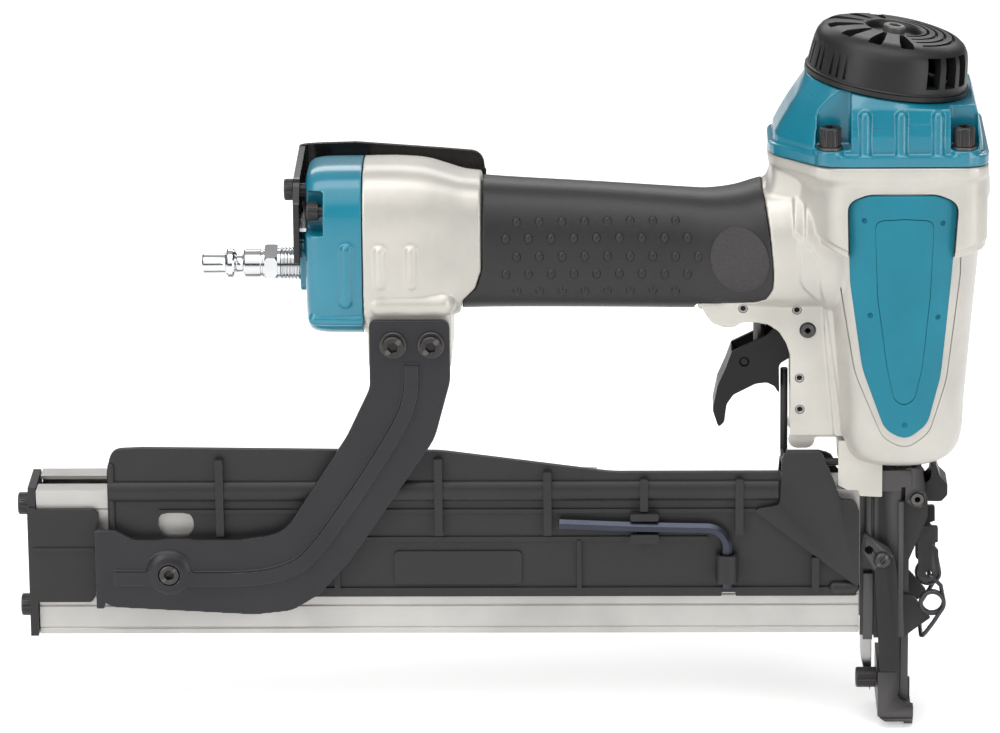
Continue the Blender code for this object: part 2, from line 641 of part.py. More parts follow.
def make_magazine_cover(name, side, mats):
    """Moulded side cover with ribs; the near one also has the spring tube, hand guard and key holders."""
    black = mats["black_plastic"]
    guard = [(-320.5, 109.0, 3), (-318.5, 118.0, 7), (-306.0, 118.5, 0), (-187.0, 117.0, 20), (-119.0, 108.0, 20),
             (-51.5, 108.0, 0), (-51.5, 99.0, 0)]
    plain = [(-320.5, 92.0, 2), (-24.0, 92.0, 2)]
    wall = rounded([(-320.5, 56.0, 2), *(guard if side == NEAR else plain), (-21.0, 91.0, 1), (-21.0, 56.0, 1)],
                   steps=2)
    cover = side_prism(name, wall, side, PLATE_IN, COVER_FACE, black)
    parts = []
    if side == NEAR:
        tube = oval(-COVER_FACE + 0.2, 100.6, 2.6, 4.2, count=10)
        parts.append(prism("add_spring_tube", tube, "X", -320.0, -52.5, black))
    for i, (x, low, high) in enumerate(COVER_RIBS):
        if side == FAR:
            low, high = 62.0, 88.0
        rib = [(x - 1.6, low), (x + 1.6, low), (x + 1.6, high), (x - 1.6, high)]
        parts.append(side_prism(f"add_{name}_rib_{i}", rib, side, COVER_FACE - 0.6, 21.1, black))
    ledge = [(-314.0, 57.0), (-22.0, 57.0), (-22.0, 60.0), (-314.0, 60.0)]
    parts.append(side_prism(f"add_{name}_ledge", ledge, side, COVER_FACE - 0.6, 18.9, black))
    join(cover, *parts)
    if side == NEAR:
        for i, (x0, x1, z0, z1) in enumerate([(-111.5, -101.0, 88.8, 92.0), (-111.5, -101.0, 79.5, 82.7),
                                              (-80.5, -76.3, 64.0, 73.5), (-70.0, -66.0, 64.0, 73.5)]):
            clip = [(x0, z0), (x1, z0), (x1, z1), (x0, z1)]
            join(cover, side_prism(f"add_key_clip_{i}", clip, side, COVER_FACE - 0.6, 22.4, black))
    window = rounded([(-302.0, 82.5, 4), (-287.0, 82.5, 4), (-287.0, 92.0, 4), (-302.0, 92.0, 4)])
    cut(cover, side_prism(f"cut_{name}_window", window, side, 10.0, 30.0, black))
    x, z = STRAP_PIN
    cut(cover, drill(f"cut_{name}_pin", (x, side * COVER_FACE, z), (0, side, 0), 6.6, 8.0, 5.0, black))
    return cover


def make_front_bracket(name, side, mats):
    top = 117.0 if side == NEAR else 105.5
    outline = rounded([
        (-52.0, 95.0, 2), (-51.0, top, 3), (-35.5, top, 2), (-30.0, 104.0, 4), (-28.0, 97.2, 2),
        (-22.0, 97.2, 3), (-20.3, 92.0, 1), (-20.3, 60.0, 1), (-63.0, 93.0, 1.5),
    ], steps=2)
    return side_prism(name, outline, side, COVER_FACE + 0.5, 20.6, mats["black_steel"])


def make_hex_key(mats):
    corner = (-76.0, 82.5)
    path = [(-140.0, 87.4), (-108.0, 86.0)]
    for k in range(6):
        angle = math.radians(88.0 - 88.0 * k / 5)
        path.append((corner[0] - 5.0 + 8.0 * math.cos(angle), corner[1] - 5.0 + 8.0 * math.sin(angle)))
    path.append((-73.0, 60.5))
    points = [(x, NEAR * (COVER_FACE + 2.6), z) for x, z in path]
    return swept("hex_key", points, 2.3, mats["dark_tool_steel"], sides=6)


def make_pusher(mats):
    """Rides over the staple core; its tongue hangs through the core's slot."""
    steel = mats["bright_steel"]
    inner = CORE_HALF + GAP
    outer = CAVITY_HALF - GAP
    outline = [(-outer, 60.0), (-outer, CAVITY_TOP_Z - GAP), (outer, CAVITY_TOP_Z - GAP), (outer, 60.0),
               (inner, 60.0), (inner, CORE_TOP_Z + GAP), (-inner, CORE_TOP_Z + GAP), (-inner, 60.0)]
    pusher = prism("pusher", outline, "X", -62.0, -24.0, steel)
    finger = box("add_pusher_finger", (-58.0, -4.5, 97.0), (-44.0, 4.5, 101.0), steel)
    tongue = box("add_pusher_tongue", (-52.0, -1.6, 70.0), (-40.0, 1.6, 97.0), steel)
    return join(pusher, finger, tongue)


def make_pusher_spring(mats):
    """Roll of constant-force spring strip, carried behind the pusher's tongue."""
    profile = [(4.0, -6.0), (9.0, -6.0), (9.0, 6.0), (4.0, 6.0)]
    centre = (-62.0, 0, 78.0)
    return turned("pusher_spring", profile, centre, (0, 1, 0), mats["spring_steel"], segments=16, hollow=True)


# ---------------------------------------------------------------- nose
def make_nose_block(mats):
    """Rear half of the staple guide, with the feed window, the door lugs and the latch catches."""
    steel = mats["black_steel"]
    pocket_front = DRIVE_X + 1.1
    nose = box("nose_block", (-14.0, -NOSE_HALF, 37.0), (pocket_front, NOSE_HALF, 100.7), steel)
    lower = box("add_guide_tip", (DRIVE_X - 5.0, -NOSE_HALF, GUIDE_TIP_Z), (pocket_front, NOSE_HALF, 40.0), steel)
    top = box("add_nose_top", (-11.5, -17.0, 99.5), (pocket_front, 17.0, 108.2), steel)
    brow = box("add_nose_brow", (pocket_front - 2.0, -17.0, 101.2), (0.5, 17.0, 108.2), steel)
    face = box("add_nose_face", (pocket_front, -11.0, 86.0), (0.4, 11.0, 104.0), steel)
    parts = [lower, top, brow, face]
    lug = rounded([(0.0, 90.5, 0), (DOOR_PIVOT[0] + 4.0, 91.0, 3),
                   (DOOR_PIVOT[0] + 4.5, 101.0, 4), (0.0, 103.0, 0)])
    catch = [(DRIVE_X - 5.0, 38.3), (-1.5, 38.3), (2.4, 41.4), (8.6, 46.0), (7.8, 47.9), (1.6, 55.3),
             (DRIVE_X - 5.0, 57.6)]
    cheek = rounded([(-1.8, 109.0, 1), (5.0, 109.0, 1.5), (6.0, 99.7, 0), (7.0, 97.0, 2), (4.5, 91.6, 2),
                     (1.2, 92.8, 1), (-1.8, 95.1, 0)])
    wall = [(-19.6, 38.0), (-13.0, 38.0), (-13.0, 99.0), (-19.6, 99.0)]
    lip_root = [(-4.4, 38.0), (pocket_front, 38.0), (pocket_front, 95.0), (-4.4, 95.0)]
    lip = [(-4.4, 38.0), (-2.4, 38.0), (-2.4, 95.0), (-4.4, 95.0)]
    for side in (NEAR, FAR):
        parts.append(side_prism(f"add_nose_lug_{side}", lug, side, 8.0, 11.0, steel))
        parts.append(side_prism(f"add_catch_{side}", catch, side, NOSE_HALF - 0.6, 16.4, steel))
        parts.append(side_prism(f"add_nose_wall_{side}", wall, side, 12.0, 13.9, steel))
        parts.append(side_prism(f"add_lip_root_{side}", lip_root, side, NOSE_HALF - 0.6, 15.2, steel))
        parts.append(side_prism(f"add_lip_{side}", lip, side, NOSE_HALF + GAP, 16.9, steel))
        parts.append(side_prism(f"add_hinge_cheek_{side}", cheek, side, NOSE_HALF + GAP, 16.4, steel))
    post = [(-18.4, 37.2), (-14.6, 37.2), (-14.6, 65.0), (-18.4, 65.0)]
    parts.append(side_prism("add_nose_post", post, NEAR, 12.5, 17.1, steel))
    join(nose, *parts)
    channel = BLADE_WIDTH / 2 + 0.45
    cut(nose, box("cut_channel", (DRIVE_X - 1.1, -channel, 0.0), (20.0, channel, 85.0), steel))
    cut(nose, box("cut_channel_top", (DRIVE_X - 1.1, -channel, 80.0), (DRIVE_X + 1.1, channel, 110.0), steel))
    cut(nose, box("cut_feed", (-20.0, -channel - 0.2, 44.0), (DRIVE_X, channel + 0.2, CAVITY_TOP_Z), steel))
    cut(nose, box("cut_catch_gap", (pocket_front, -NOSE_HALF - GAP, 30.0), (20.0, NOSE_HALF + GAP, 84.0), steel))
    cut(nose, box("cut_lever_relief", (-1.4, -7.9, 84.0), (5.0, 7.9, 101.1), steel))
    pin = turned("cut_door_pin", [(2.6 + GAP, -20.0), (2.6 + GAP, 20.0)], (DOOR_PIVOT[0], 0, DOOR_PIVOT[1]),
                 (0, 1, 0), steel, segments=12)
    return cut(nose, pin)


def make_front_door(mats):
    """Front half of the staple guide; it swings forward on the pin at its top to clear a jam."""
    steel = mats["black_steel"]
    back = DRIVE_X + 1.1 + GAP
    door = box("front_door", (back, -NOSE_HALF, GUIDE_TIP_Z), (back + 3.0, NOSE_HALF, 84.0), steel)
    ear = rounded([(back, 70.0, 0), (back + 3.0, 70.0, 0), (DOOR_PIVOT[0] + 4.2, 88.0, 2),
                   (DOOR_PIVOT[0] + 4.2, 99.8, 4), (DOOR_PIVOT[0] - 4.2, 99.8, 4), (back, 88.0, 2)])
    cheek = rounded([(back + 1.0, 79.8, 0), (3.5, 77.5, 1), (3.7, 61.0, 2), (9.2, 60.6, 2), (11.8, 63.7, 2),
                     (11.7, 73.7, 1), (9.2, 76.6, 0), (11.5, 77.5, 0), (11.4, 84.0, 1), (back + 1.0, 84.0, 0)])
    for side in (NEAR, FAR):
        join(door, side_prism(f"add_door_ear_{side}", ear, side, 11.4, NOSE_HALF, steel),
             side_prism(f"add_door_cheek_{side}", cheek, side, 12.6, NOSE_HALF - 0.1, steel))
    pin = turned("cut_door_ear_pin", [(2.6 + GAP, -20.0), (2.6 + GAP, 20.0)], (DOOR_PIVOT[0], 0, DOOR_PIVOT[1]),
                 (0, 1, 0), steel, segments=12)
    wire_hole = turned("cut_wire_hole", [(WIRE_RADIUS + 0.4, -20.0), (WIRE_RADIUS + 0.4, 20.0)],
                       (WIRE_PIVOT[0], 0, WIRE_PIVOT[1]), (0, 1, 0), steel, segments=10)
    return cut(door, pin, wire_hole)


def make_door_pin(mats):
    profile = [(1.2, -17.0), (2.6, -17.0), (2.6, 17.0), (1.2, 17.0)]
    return turned("door_pin", profile, (DOOR_PIVOT[0], 0, DOOR_PIVOT[1]), (0, 1, 0), mats["bright_steel"],
                  segments=12, hollow=True)


def make_latch_lever(mats):
    """Hooked thumb lever on the door pin, between the lugs."""
    steel = mats["black_steel"]
    outline = rounded([
        (0.9, 92.6, 2), (6.0, 92.4, 2), (13.0, 92.2, 2), (15.4, 95.0, 1.5), (15.4, 99.5, 1.5), (12.4, 102.5, 2),
        (10.8, 107.6, 0.8), (8.8, 107.6, 0.8), (8.6, 101.5, 3), (6.0, 99.8, 2), (0.9, 99.8, 2),
    ], steps=2)
    lever = prism("latch_lever", outline, "Y", -7.6, 7.6, steel)
    middle = box("cut_lever_middle", (-5.0, -5.2, 85.0), (7.6, 5.2, 120.0), steel)
    pin = turned("cut_lever_pin", [(2.6 + GAP, -20.0), (2.6 + GAP, 20.0)], (DOOR_PIVOT[0], 0, DOOR_PIVOT[1]),
                 (0, 1, 0), steel, segments=12)
    return cut(lever, middle, pin)


def wire_half(side):
    """Wire centre line on one side: pivot eye, leg, torsion coil and the leg to the catch."""
    plane = 17.6
    coil_radius = 4.6
    points = [(WIRE_PIVOT[0], side * 12.0, WIRE_PIVOT[1]), (WIRE_PIVOT[0], side * 16.4, WIRE_PIVOT[1]),
              (9.4, side * plane, 63.4), (12.6, side * plane, 60.6)]
    turns, steps = 1.17, 14
    for k in range(steps + 1):
        angle = math.radians(20.0) - 2 * math.pi * turns * k / steps
        points.append((WIRE_COIL[0] + coil_radius * math.cos(angle), side * (plane + 3.0 * k / steps),
                       WIRE_COIL[1] + coil_radius * math.sin(angle)))
    points += [(6.6, side * 19.6, 41.0), (5.0, side * 16.6, 38.7)]
    return points


def make_latch_wire(mats):
    near, far = wire_half(NEAR), wire_half(FAR)
    return swept("latch_wire", near + far[::-1], WIRE_RADIUS, mats["spring_steel"], sides=6)


def make_contact_foot(mats):
    """U-shaped shoe round the guide tip, with a thin lip across its front."""
    steel = mats["black_steel"]
    foot = box("contact_foot", (FOOT_REAR_X, -FOOT_HALF, 0.0), (2.0, FOOT_HALF, FOOT_HEIGHT), steel)
    cut(foot, box("cut_foot_inside", (DRIVE_X - 5.3, -NOSE_HALF - GAP, -5.0), (-1.5, NOSE_HALF + GAP, 40.0), steel))
    cut(foot, box("cut_foot_front", (-3.0, -NOSE_HALF - GAP, 2.0), (20.0, NOSE_HALF + GAP, 40.0), steel))
    slant = [(-4.6, 30.0), (-4.3, 13.3), (1.2, 9.4), (10.0, 9.4), (10.0, 30.0)]
    cut(foot, prism("cut_foot_slant", slant, "Y", -30.0, 30.0, steel))
    heel = [(-20.0, -5.0), (-8.0, -5.0), (-8.0, 0.0), (-12.5, 5.0), (-20.0, 5.0)]
    cut(foot, prism("cut_foot_heel", heel, "Y", -30.0, 30.0, steel))
    for side in (NEAR, FAR):
        bevel = [(side * 13.5, 0.0), (side * 13.5, -5.0), (side * 25.0, -5.0), (side * 25.0, 3.4),
                 (side * 17.3, 3.4)]
        cut(foot, prism(f"cut_foot_bevel_{side}", bevel, "X", -30.0, 30.0, steel))
    y, z = FOOT_SCREW
    return cut(foot, drill("cut_foot_screw", (FOOT_REAR_X, y, z), (-1, 0, 0), 2.3, 1.9, 5.0, steel))


def make_foot_bracket(mats):
    """Guide plate that stands behind the foot."""
    outline = rounded([(-18.8, 26.0, 3), (-14.5, 7.0, 1), (-14.5, 35.0, 1), (-18.8, 38.5, 1)], steps=2)
    return prism("foot_bracket", outline, "Y", -6.2, 6.2, mats["bright_steel"])


def make_contact_arm(mats):
    """Stamped plate on the near side that ties the foot to the safety rod."""
    outline = rounded([
        (-11.8, 9.0, 1), (-4.6, 9.0, 1), (-4.8, 65.4, 1.5), (-6.1, 73.1, 1.5), (-8.6, 76.9, 1), (-18.5, 83.0, 1),
        (-19.3, 76.2, 0), (-18.4, 68.4, 1), (-14.0, 67.6, 1), (-11.8, 26.9, 0),
    ], steps=2)
    steel = mats["black_steel"]
    arm = side_prism("contact_arm", outline, NEAR, CONTACT_PLATE_IN, CONTACT_PLATE_OUT, steel)
    hole = drill("cut_contact_screw", (-10.9, -CONTACT_PLATE_OUT, 71.6), (0, -1, 0), 1.9, 5.0, 5.0, steel)
    return cut(arm, hole)


def make_contact_rod(mats):
    """Bent wire from the contact arm, under the housing, up to the trigger."""
    y = NEAR * 15.7
    z = 111.6
    corners = [Vector(p) for p in ((-50.0, 0.0, 146.0), (-50.0, 0.0, z), (-50.0, y, z), (-16.5, y, z),
                                   (-16.5, y, 79.0))]
    path = [corners[0]]
    for before, here, after in zip(corners, corners[1:], corners[2:]):
        start = here + (before - here).normalized() * 3.0
        end = here + (after - here).normalized() * 3.0
        path += [start, (start + end) / 4 + here / 2, end]
    path.append(corners[-1])
    return swept("contact_rod", path, ROD_RADIUS, mats["bright_steel"], sides=8)


# ---------------------------------------------------------------- trigger and valve
def make_trigger(mats):
    """Folded channel with the finger hook at its lower end, hung on the trigger pin."""
    black = mats["trigger_black"]
    outline = rounded([
        (-70.5, 153.0, 1), (-56.0, 158.6, 3), (-46.0, 171.0, 5), (-36.5, 171.0, 5), (-36.0, 162.0, 5),
        (-46.5, 153.5, 3), (-52.2, 150.0, 2), (-52.2, 136.0, 1), (-57.0, 139.4, 4), (-66.0, 139.2, 4),
        (-73.0, 134.5, 3), (-74.8, 130.0, 2), (-73.6, 124.2, 1), (-76.2, 123.0, 1), (-78.6, 131.0, 3),
        (-76.6, 141.0, 4), (-73.5, 148.0, 2),
    ], steps=2)
    trigger = prism("trigger", outline, "Y", -8.2, 8.2, black)
    inside = [
        (-30.0, 180.0), (-30.0, 140.0), (-52.0, 138.6), (-57.0, 141.8), (-65.0, 141.6), (-71.5, 138.5),
        (-73.8, 141.0), (-71.4, 146.5), (-69.0, 152.0), (-72.0, 156.0), (-60.0, 180.0),
    ]
    cut(trigger, prism("cut_trigger_inside", inside, "Y", -6.2, 6.2, black))
    for label, (x, z), radius in (("pin", TRIGGER_PIVOT, 3.0), ("lever", LEVER_PIVOT, 1.6)):
        hole = turned(f"cut_trigger_{label}_hole", [(radius + GAP, -20.0), (radius + GAP, 20.0)], (x, 0, z),
                      (0, 1, 0), black, segments=12)
        cut(trigger, hole)
    return trigger


def make_idler_lever(mats):
    """Lever inside the trigger that spans from its own pin to above the safety rod."""
    steel = mats["bright_steel"]
    outline = [(-68.4, 150.0), (-67.5, 148.6), (-64.5, 148.6), (-59.0, 153.4), (-47.5, 153.6),
               (-47.5, 156.0), (-60.0, 156.4), (-66.5, 153.8), (-68.4, 152.5)]
    lever = prism("idler_lever", outline, "Y", -5.8, 5.8, steel)
    hole = turned("cut_idler_hole", [(1.6 + GAP, -20.0), (1.6 + GAP, 20.0)], (LEVER_PIVOT[0], 0, LEVER_PIVOT[1]),
                  (0, 1, 0), steel, segments=10)
    return cut(lever, hole)


def plain_pin(name, point, radius, half_length, mat):
    profile = [(radius - 0.4, -half_length), (radius, -half_length + 0.4), (radius, half_length - 0.4),
               (radius - 0.4, half_length)]
    return turned(name, profile, (point[0], 0, point[1]), (0, 1, 0), mat, segments=12)


def make_valve(mats):
    body = turned("valve_body", [(2.8, 175.4), (7.0, 175.4), (7.0, 191.0), (2.8, 191.0)], (VALVE_X, 0, 0),
                  (0, 0, 1), mats["brass"], segments=14, hollow=True)
    stem = turned("valve_stem", [(1.6, 157.0), (2.4, 157.8), (2.4, 186.0), (1.8, 187.0)], (VALVE_X, 0, 0),
                  (0, 0, 1), mats["bright_steel"], segments=12)
    return body, stem


# ---------------------------------------------------------------- cylinder
def make_cylinder(mats):
    axis = (0, 0, 1)
    centre = (DRIVE_X, 0, 0)
    bottom = BUMPER_BOTTOM_Z
    rubber = mats["grip_rubber"]
    wall = [(SLEEVE_INNER, bottom), (SLEEVE_OUTER, bottom), (SLEEVE_OUTER, SLEEVE_TOP_Z), (SLEEVE_INNER, SLEEVE_TOP_Z)]
    turned("cylinder_sleeve", wall, centre, axis, mats["aluminium"], segments=24, hollow=True)
    piston_top = PISTON_BOTTOM_Z + PISTON_HEIGHT
    piston = turned("piston", [(PISTON_RADIUS, PISTON_BOTTOM_Z), (PISTON_RADIUS, piston_top - 1.0),
                               (PISTON_RADIUS - 1.0, piston_top)],
                    centre, axis, mats["aluminium"], segments=24)
    half = BLADE_THICKNESS / 2
    blade = box("driver_blade", (DRIVE_X - half, -BLADE_WIDTH / 2, CAVITY_TOP_Z + 0.3),
                (DRIVE_X + half, BLADE_WIDTH / 2, PISTON_BOTTOM_Z - GAP), mats["bright_steel"])
    bumper_top = PISTON_BOTTOM_Z - STROKE - 0.5
    bumper = turned("bumper", [(SLEEVE_INNER - GAP, bottom), (SLEEVE_INNER - GAP, bumper_top)], centre, axis,
                    rubber, segments=24)
    cut(bumper, box("cut_bumper_slot", (DRIVE_X - 1.6, -BLADE_WIDTH / 2 - 0.6, bottom - 5.0),
                    (DRIVE_X + 1.6, BLADE_WIDTH / 2 + 0.6, bumper_top + 5.0), rubber))
    valve = turned("head_valve", [(9.0, 248.4), (22.5, 248.4), (22.5, 252.4), (9.0, 252.4)], centre, axis,
                   mats["grip_rubber"], segments=24, hollow=True)
    return piston, blade, valve


# ---------------------------------------------------------------- fasteners
def make_fasteners(mats):
    dark = mats["fastener"]
    names = ["near_rear", "near_front", "far_rear", "far_front"]
    for label, (x, y) in zip(names, HEAD_BOLTS):
        seat = (x, y, HEAD_BOLT_SEAT_Z + GAP)
        cap_screw(f"head_bolt_{label}", seat, (0, 0, 1), 4.2, 8.2, 2.5, 18.0, dark)
    bolt = cap_screw("exhaust_cover_bolt", cover_point(19.2), cover_axis(), 4.4, 3.2, 2.6, 12.0, dark)
    for label, (x, z) in zip(("rear", "front"), STRAP_BOLTS):
        cap_screw(f"strap_bolt_{label}", (x, -STRAP_OUT - GAP, z), (0, NEAR, 0), 4.6, 3.6, 2.5, 9.0, dark)
    x, z = STRAP_PIN
    profile = [(2.0, -8.8), (2.0, -5.9), (6.0, -5.9), (6.0, -3.1), (4.0, -3.0), (4.0, 0.6), (3.2, 1.2), (1.3, 1.2),
               (1.3, 0.4)]
    turned("strap_pin", profile, (x, -STRAP_OUT - 0.4, z), (0, NEAR, 0), dark, segments=12)
    for side, where in ((NEAR, "near"), (FAR, "far")):
        cap_screw(f"rear_cap_bolt_{where}", (-234.1, side * 16.5, 216.0), (-1, 0, 0), 3.8, 4.8, 2.5, 27.0, dark)
    cap_screw("hook_bolt", (-244.3, -6.0, 222.0), (-1, 0, 0), 4.3, 3.6, 2.5, 11.0, dark)
    end_x = MAG_REAR_X - GAP - 3.2 - GAP
    cap_screw("end_bolt_upper", (end_x, 0, 90.0), (-1, 0, 0), 4.6, 5.0, 2.0, 2.9, dark)
    cap_screw("end_bolt_lower", (end_x, 0, 47.0), (-1, 0, 0), 4.6, 5.0, 2.0, 2.9, dark)
    screw = turned("contact_screw", [(1.5, -1.7), (1.5, 0.0), (3.5, 0.0), (3.2, 1.2), (2.0, 2.0)],
                   (-10.9, -CONTACT_PLATE_OUT - GAP, 71.6), (0, -1, 0), dark, segments=12)
    foot_screw = cap_screw("foot_screw", (FOOT_REAR_X - GAP, *FOOT_SCREW), (-1, 0, 0), 4.2, 8.6, 2.0, 1.9, dark)
    return bolt, screw, foot_screw


def make_materials():
    return {
        "silver": material("cast_silver", (0.78, 0.77, 0.74), 0.42, 0.35),
        "teal_paint": material("teal_paint", (0.0, 0.30, 0.40), 0.35),
        "teal_rubber": material("teal_rubber", (0.01, 0.27, 0.36), 0.55),
        "grip_rubber": material("black_rubber", (0.035, 0.034, 0.034), 0.7),
        "black_plastic": material("black_plastic", (0.03, 0.03, 0.032), 0.5),
        "black_steel": material("black_steel", (0.03, 0.031, 0.034), 0.4, 0.5),
        "trigger_black": material("trigger_black", (0.028, 0.028, 0.03), 0.45),
        "dark_tool_steel": material("tool_steel", (0.08, 0.085, 0.1), 0.35, 0.9),
        "fastener": material("fastener_steel", (0.05, 0.05, 0.052), 0.4, 0.8),
        "bright_steel": material("bright_steel", (0.55, 0.55, 0.56), 0.3, 1.0),
        "spring_steel": material("spring_steel", (0.25, 0.25, 0.26), 0.3, 1.0),
        "aluminium": material("aluminium", (0.8, 0.8, 0.8), 0.35, 1.0),
        "chrome": material("chrome", (0.85, 0.86, 0.88), 0.12, 1.0),
        "brass": material("brass", (0.75, 0.55, 0.25), 0.35, 1.0),
    }


def main():
    for obj in list(bpy.data.objects):
        bpy.data.objects.remove(obj, do_unlink=True)
    mats = make_materials()
    make_housing(mats)
    make_grip(mats)
    make_side_pad("side_pad_near", NEAR, mats)
    make_side_pad("side_pad_far", FAR, mats)
    make_head(mats)
    cover = make_exhaust_cover(mats)
    make_rear_cap(mats)
    make_air_plug(mats)
    make_hook(mats)
    make_strap(mats)
    make_magazine(mats)
    make_end_cap(mats)
    make_core(mats)
    make_magazine_cover("magazine_cover_near", NEAR, mats)
    make_magazine_cover("magazine_cover_far", FAR, mats)
    make_front_bracket("front_bracket_near", NEAR, mats)
    make_front_bracket("front_bracket_far", FAR, mats)
    make_hex_key(mats)
    pusher, spring = make_pusher(mats), make_pusher_spring(mats)
    make_nose_block(mats)
    door = make_front_door(mats)
    make_door_pin(mats)
    latch_lever = make_latch_lever(mats)
    latch_wire = make_latch_wire(mats)
    contact = [make_contact_foot(mats), make_foot_bracket(mats), make_contact_arm(mats), make_contact_rod(mats)]
    trigger = make_trigger(mats)
    plain_pin("trigger_pin", TRIGGER_PIVOT, 3.0, 14.8, mats["fastener"])
    lever_pin = plain_pin("lever_pin", LEVER_PIVOT, 1.6, 8.4, mats["fastener"])
    idler = make_idler_lever(mats)
    stem = make_valve(mats)[1]
    piston, blade, valve = make_cylinder(mats)
    cover_bolt, contact_screw, foot_screw = make_fasteners(mats)

    hang(pivot("exhaust_axis", cover_point(0.4)), cover)
    hang(pivot("trigger_axis", (TRIGGER_PIVOT[0], 0, TRIGGER_PIVOT[1])), trigger, idler, lever_pin)
    hang(pivot("valve_axis", (VALVE_X, 0, 157.0)), stem)
    hang(pivot("contact_axis", (0, 0, 0)), *contact, contact_screw, foot_screw)
    hang(pivot("drive_axis", (DRIVE_X, 0, PISTON_BOTTOM_Z)), piston, blade)
    hang(pivot("head_valve_axis", (DRIVE_X, 0, 248.4)), valve)
    hang(pivot("pusher_axis", (-43.0, 0, 98.0)), pusher, spring)
    hang(pivot("door_axis", (DOOR_PIVOT[0], 0, DOOR_PIVOT[1])), door)
    hang(pivot("latch_lever_axis", (DOOR_PIVOT[0], 0, DOOR_PIVOT[1])), latch_lever)
    hang(pivot("latch_wire_axis", (WIRE_PIVOT[0], 0, WIRE_PIVOT[1])), latch_wire)


main()
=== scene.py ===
"""Finished look of the flooring stapler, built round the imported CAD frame.

Shapes are drawn in millimetres in the row frame (+X to the nose, +Z up, -Y the near side)
and become metres as each mesh is made.
"""

import math

import bmesh
import bpy
from mathutils import Matrix, Vector


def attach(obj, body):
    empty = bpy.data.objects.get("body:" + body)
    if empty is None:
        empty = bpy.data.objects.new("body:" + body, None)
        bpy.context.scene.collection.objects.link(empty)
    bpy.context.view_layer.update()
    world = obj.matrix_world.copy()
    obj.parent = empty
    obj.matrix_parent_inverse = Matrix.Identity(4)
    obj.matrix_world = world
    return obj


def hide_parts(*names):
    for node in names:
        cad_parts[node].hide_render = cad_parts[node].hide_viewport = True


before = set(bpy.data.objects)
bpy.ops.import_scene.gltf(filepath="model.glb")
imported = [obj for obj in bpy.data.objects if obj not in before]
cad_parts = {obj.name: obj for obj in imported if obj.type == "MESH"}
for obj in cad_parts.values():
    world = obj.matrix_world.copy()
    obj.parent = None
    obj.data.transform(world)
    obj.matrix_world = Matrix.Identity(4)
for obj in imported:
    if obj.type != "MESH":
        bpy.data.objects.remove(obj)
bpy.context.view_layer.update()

MM = 0.001
NEAR, FAR = -1, 1
SIDES = ((NEAR, "near"), (FAR, "far"))
UP, BACK, NEARWARD, ACROSS = (0, 0, 1), (-1, 0, 0), (0, NEAR, 0), (0, 1, 0)
CRISP = 35.0
CAST_CRISP = 50.0
TURNED_CRISP = 28.0


# ================================================================ materials
def new_material(name):
    mat = bpy.data.materials.new(name)
    mat.use_nodes = True
    tree = mat.node_tree
    return mat, tree, tree.nodes["Principled BSDF"]


def object_coords(tree, scale=(1.0, 1.0, 1.0)):
    coords = tree.nodes.new("ShaderNodeTexCoord")
    mapping = tree.nodes.new("ShaderNodeMapping")
    mapping.inputs["Scale"].default_value = scale
    tree.links.new(coords.outputs["Object"], mapping.inputs["Vector"])
    return mapping.outputs["Vector"]


def noise(tree, vector, scale, detail=3.0):
    node = tree.nodes.new("ShaderNodeTexNoise")
    node.inputs["Scale"].default_value = scale
    node.inputs["Detail"].default_value = detail
    node.inputs["Roughness"].default_value = 0.55
    tree.links.new(vector, node.inputs["Vector"])
    return node.outputs["Fac"]


def ramp(tree, factor, stops):
    node = tree.nodes.new("ShaderNodeValToRGB")
    elements = node.color_ramp.elements
    elements[0].position, elements[0].color = stops[0][0], (*stops[0][1], 1.0)
    elements[1].position, elements[1].color = stops[-1][0], (*stops[-1][1], 1.0)
    for position, colour in stops[1:-1]:
        elements.new(position).color = (*colour, 1.0)
    tree.links.new(factor, node.inputs["Fac"])
    return node.outputs["Color"]


def map_range(tree, factor, **limits):
    """Map a value from one range to another; limits are From_Min, From_Max, To_Min and To_Max."""
    node = tree.nodes.new("ShaderNodeMapRange")
    for label, value in limits.items():
        node.inputs[label.replace("_", " ")].default_value = value
    tree.links.new(factor, node.inputs["Value"])
    return node.outputs["Result"]


def bump(tree, shader, height, distance):
    node = tree.nodes.new("ShaderNodeBump")
    node.inputs["Strength"].default_value = 1.0
    node.inputs["Distance"].default_value = distance * MM
    tree.links.new(height, node.inputs["Height"])
    tree.links.new(node.outputs["Normal"], shader.inputs["Normal"])


def painted_edge_highlight(tree, base, edge_highlight):
    """Mix a painted highlight colour over the base colour along sharp convex edges."""
    geometry = tree.nodes.new("ShaderNodeNewGeometry")
    factor = map_range(tree, geometry.outputs["Pointiness"], From_Min=0.52, From_Max=0.60)
    node = tree.nodes.new("ShaderNodeMixRGB")
    node.inputs["Color2"].default_value = (*edge_highlight, 1.0)
    tree.links.new(factor, node.inputs["Fac"])
    tree.links.new(base, node.inputs["Color1"])
    return node.outputs["Color"]


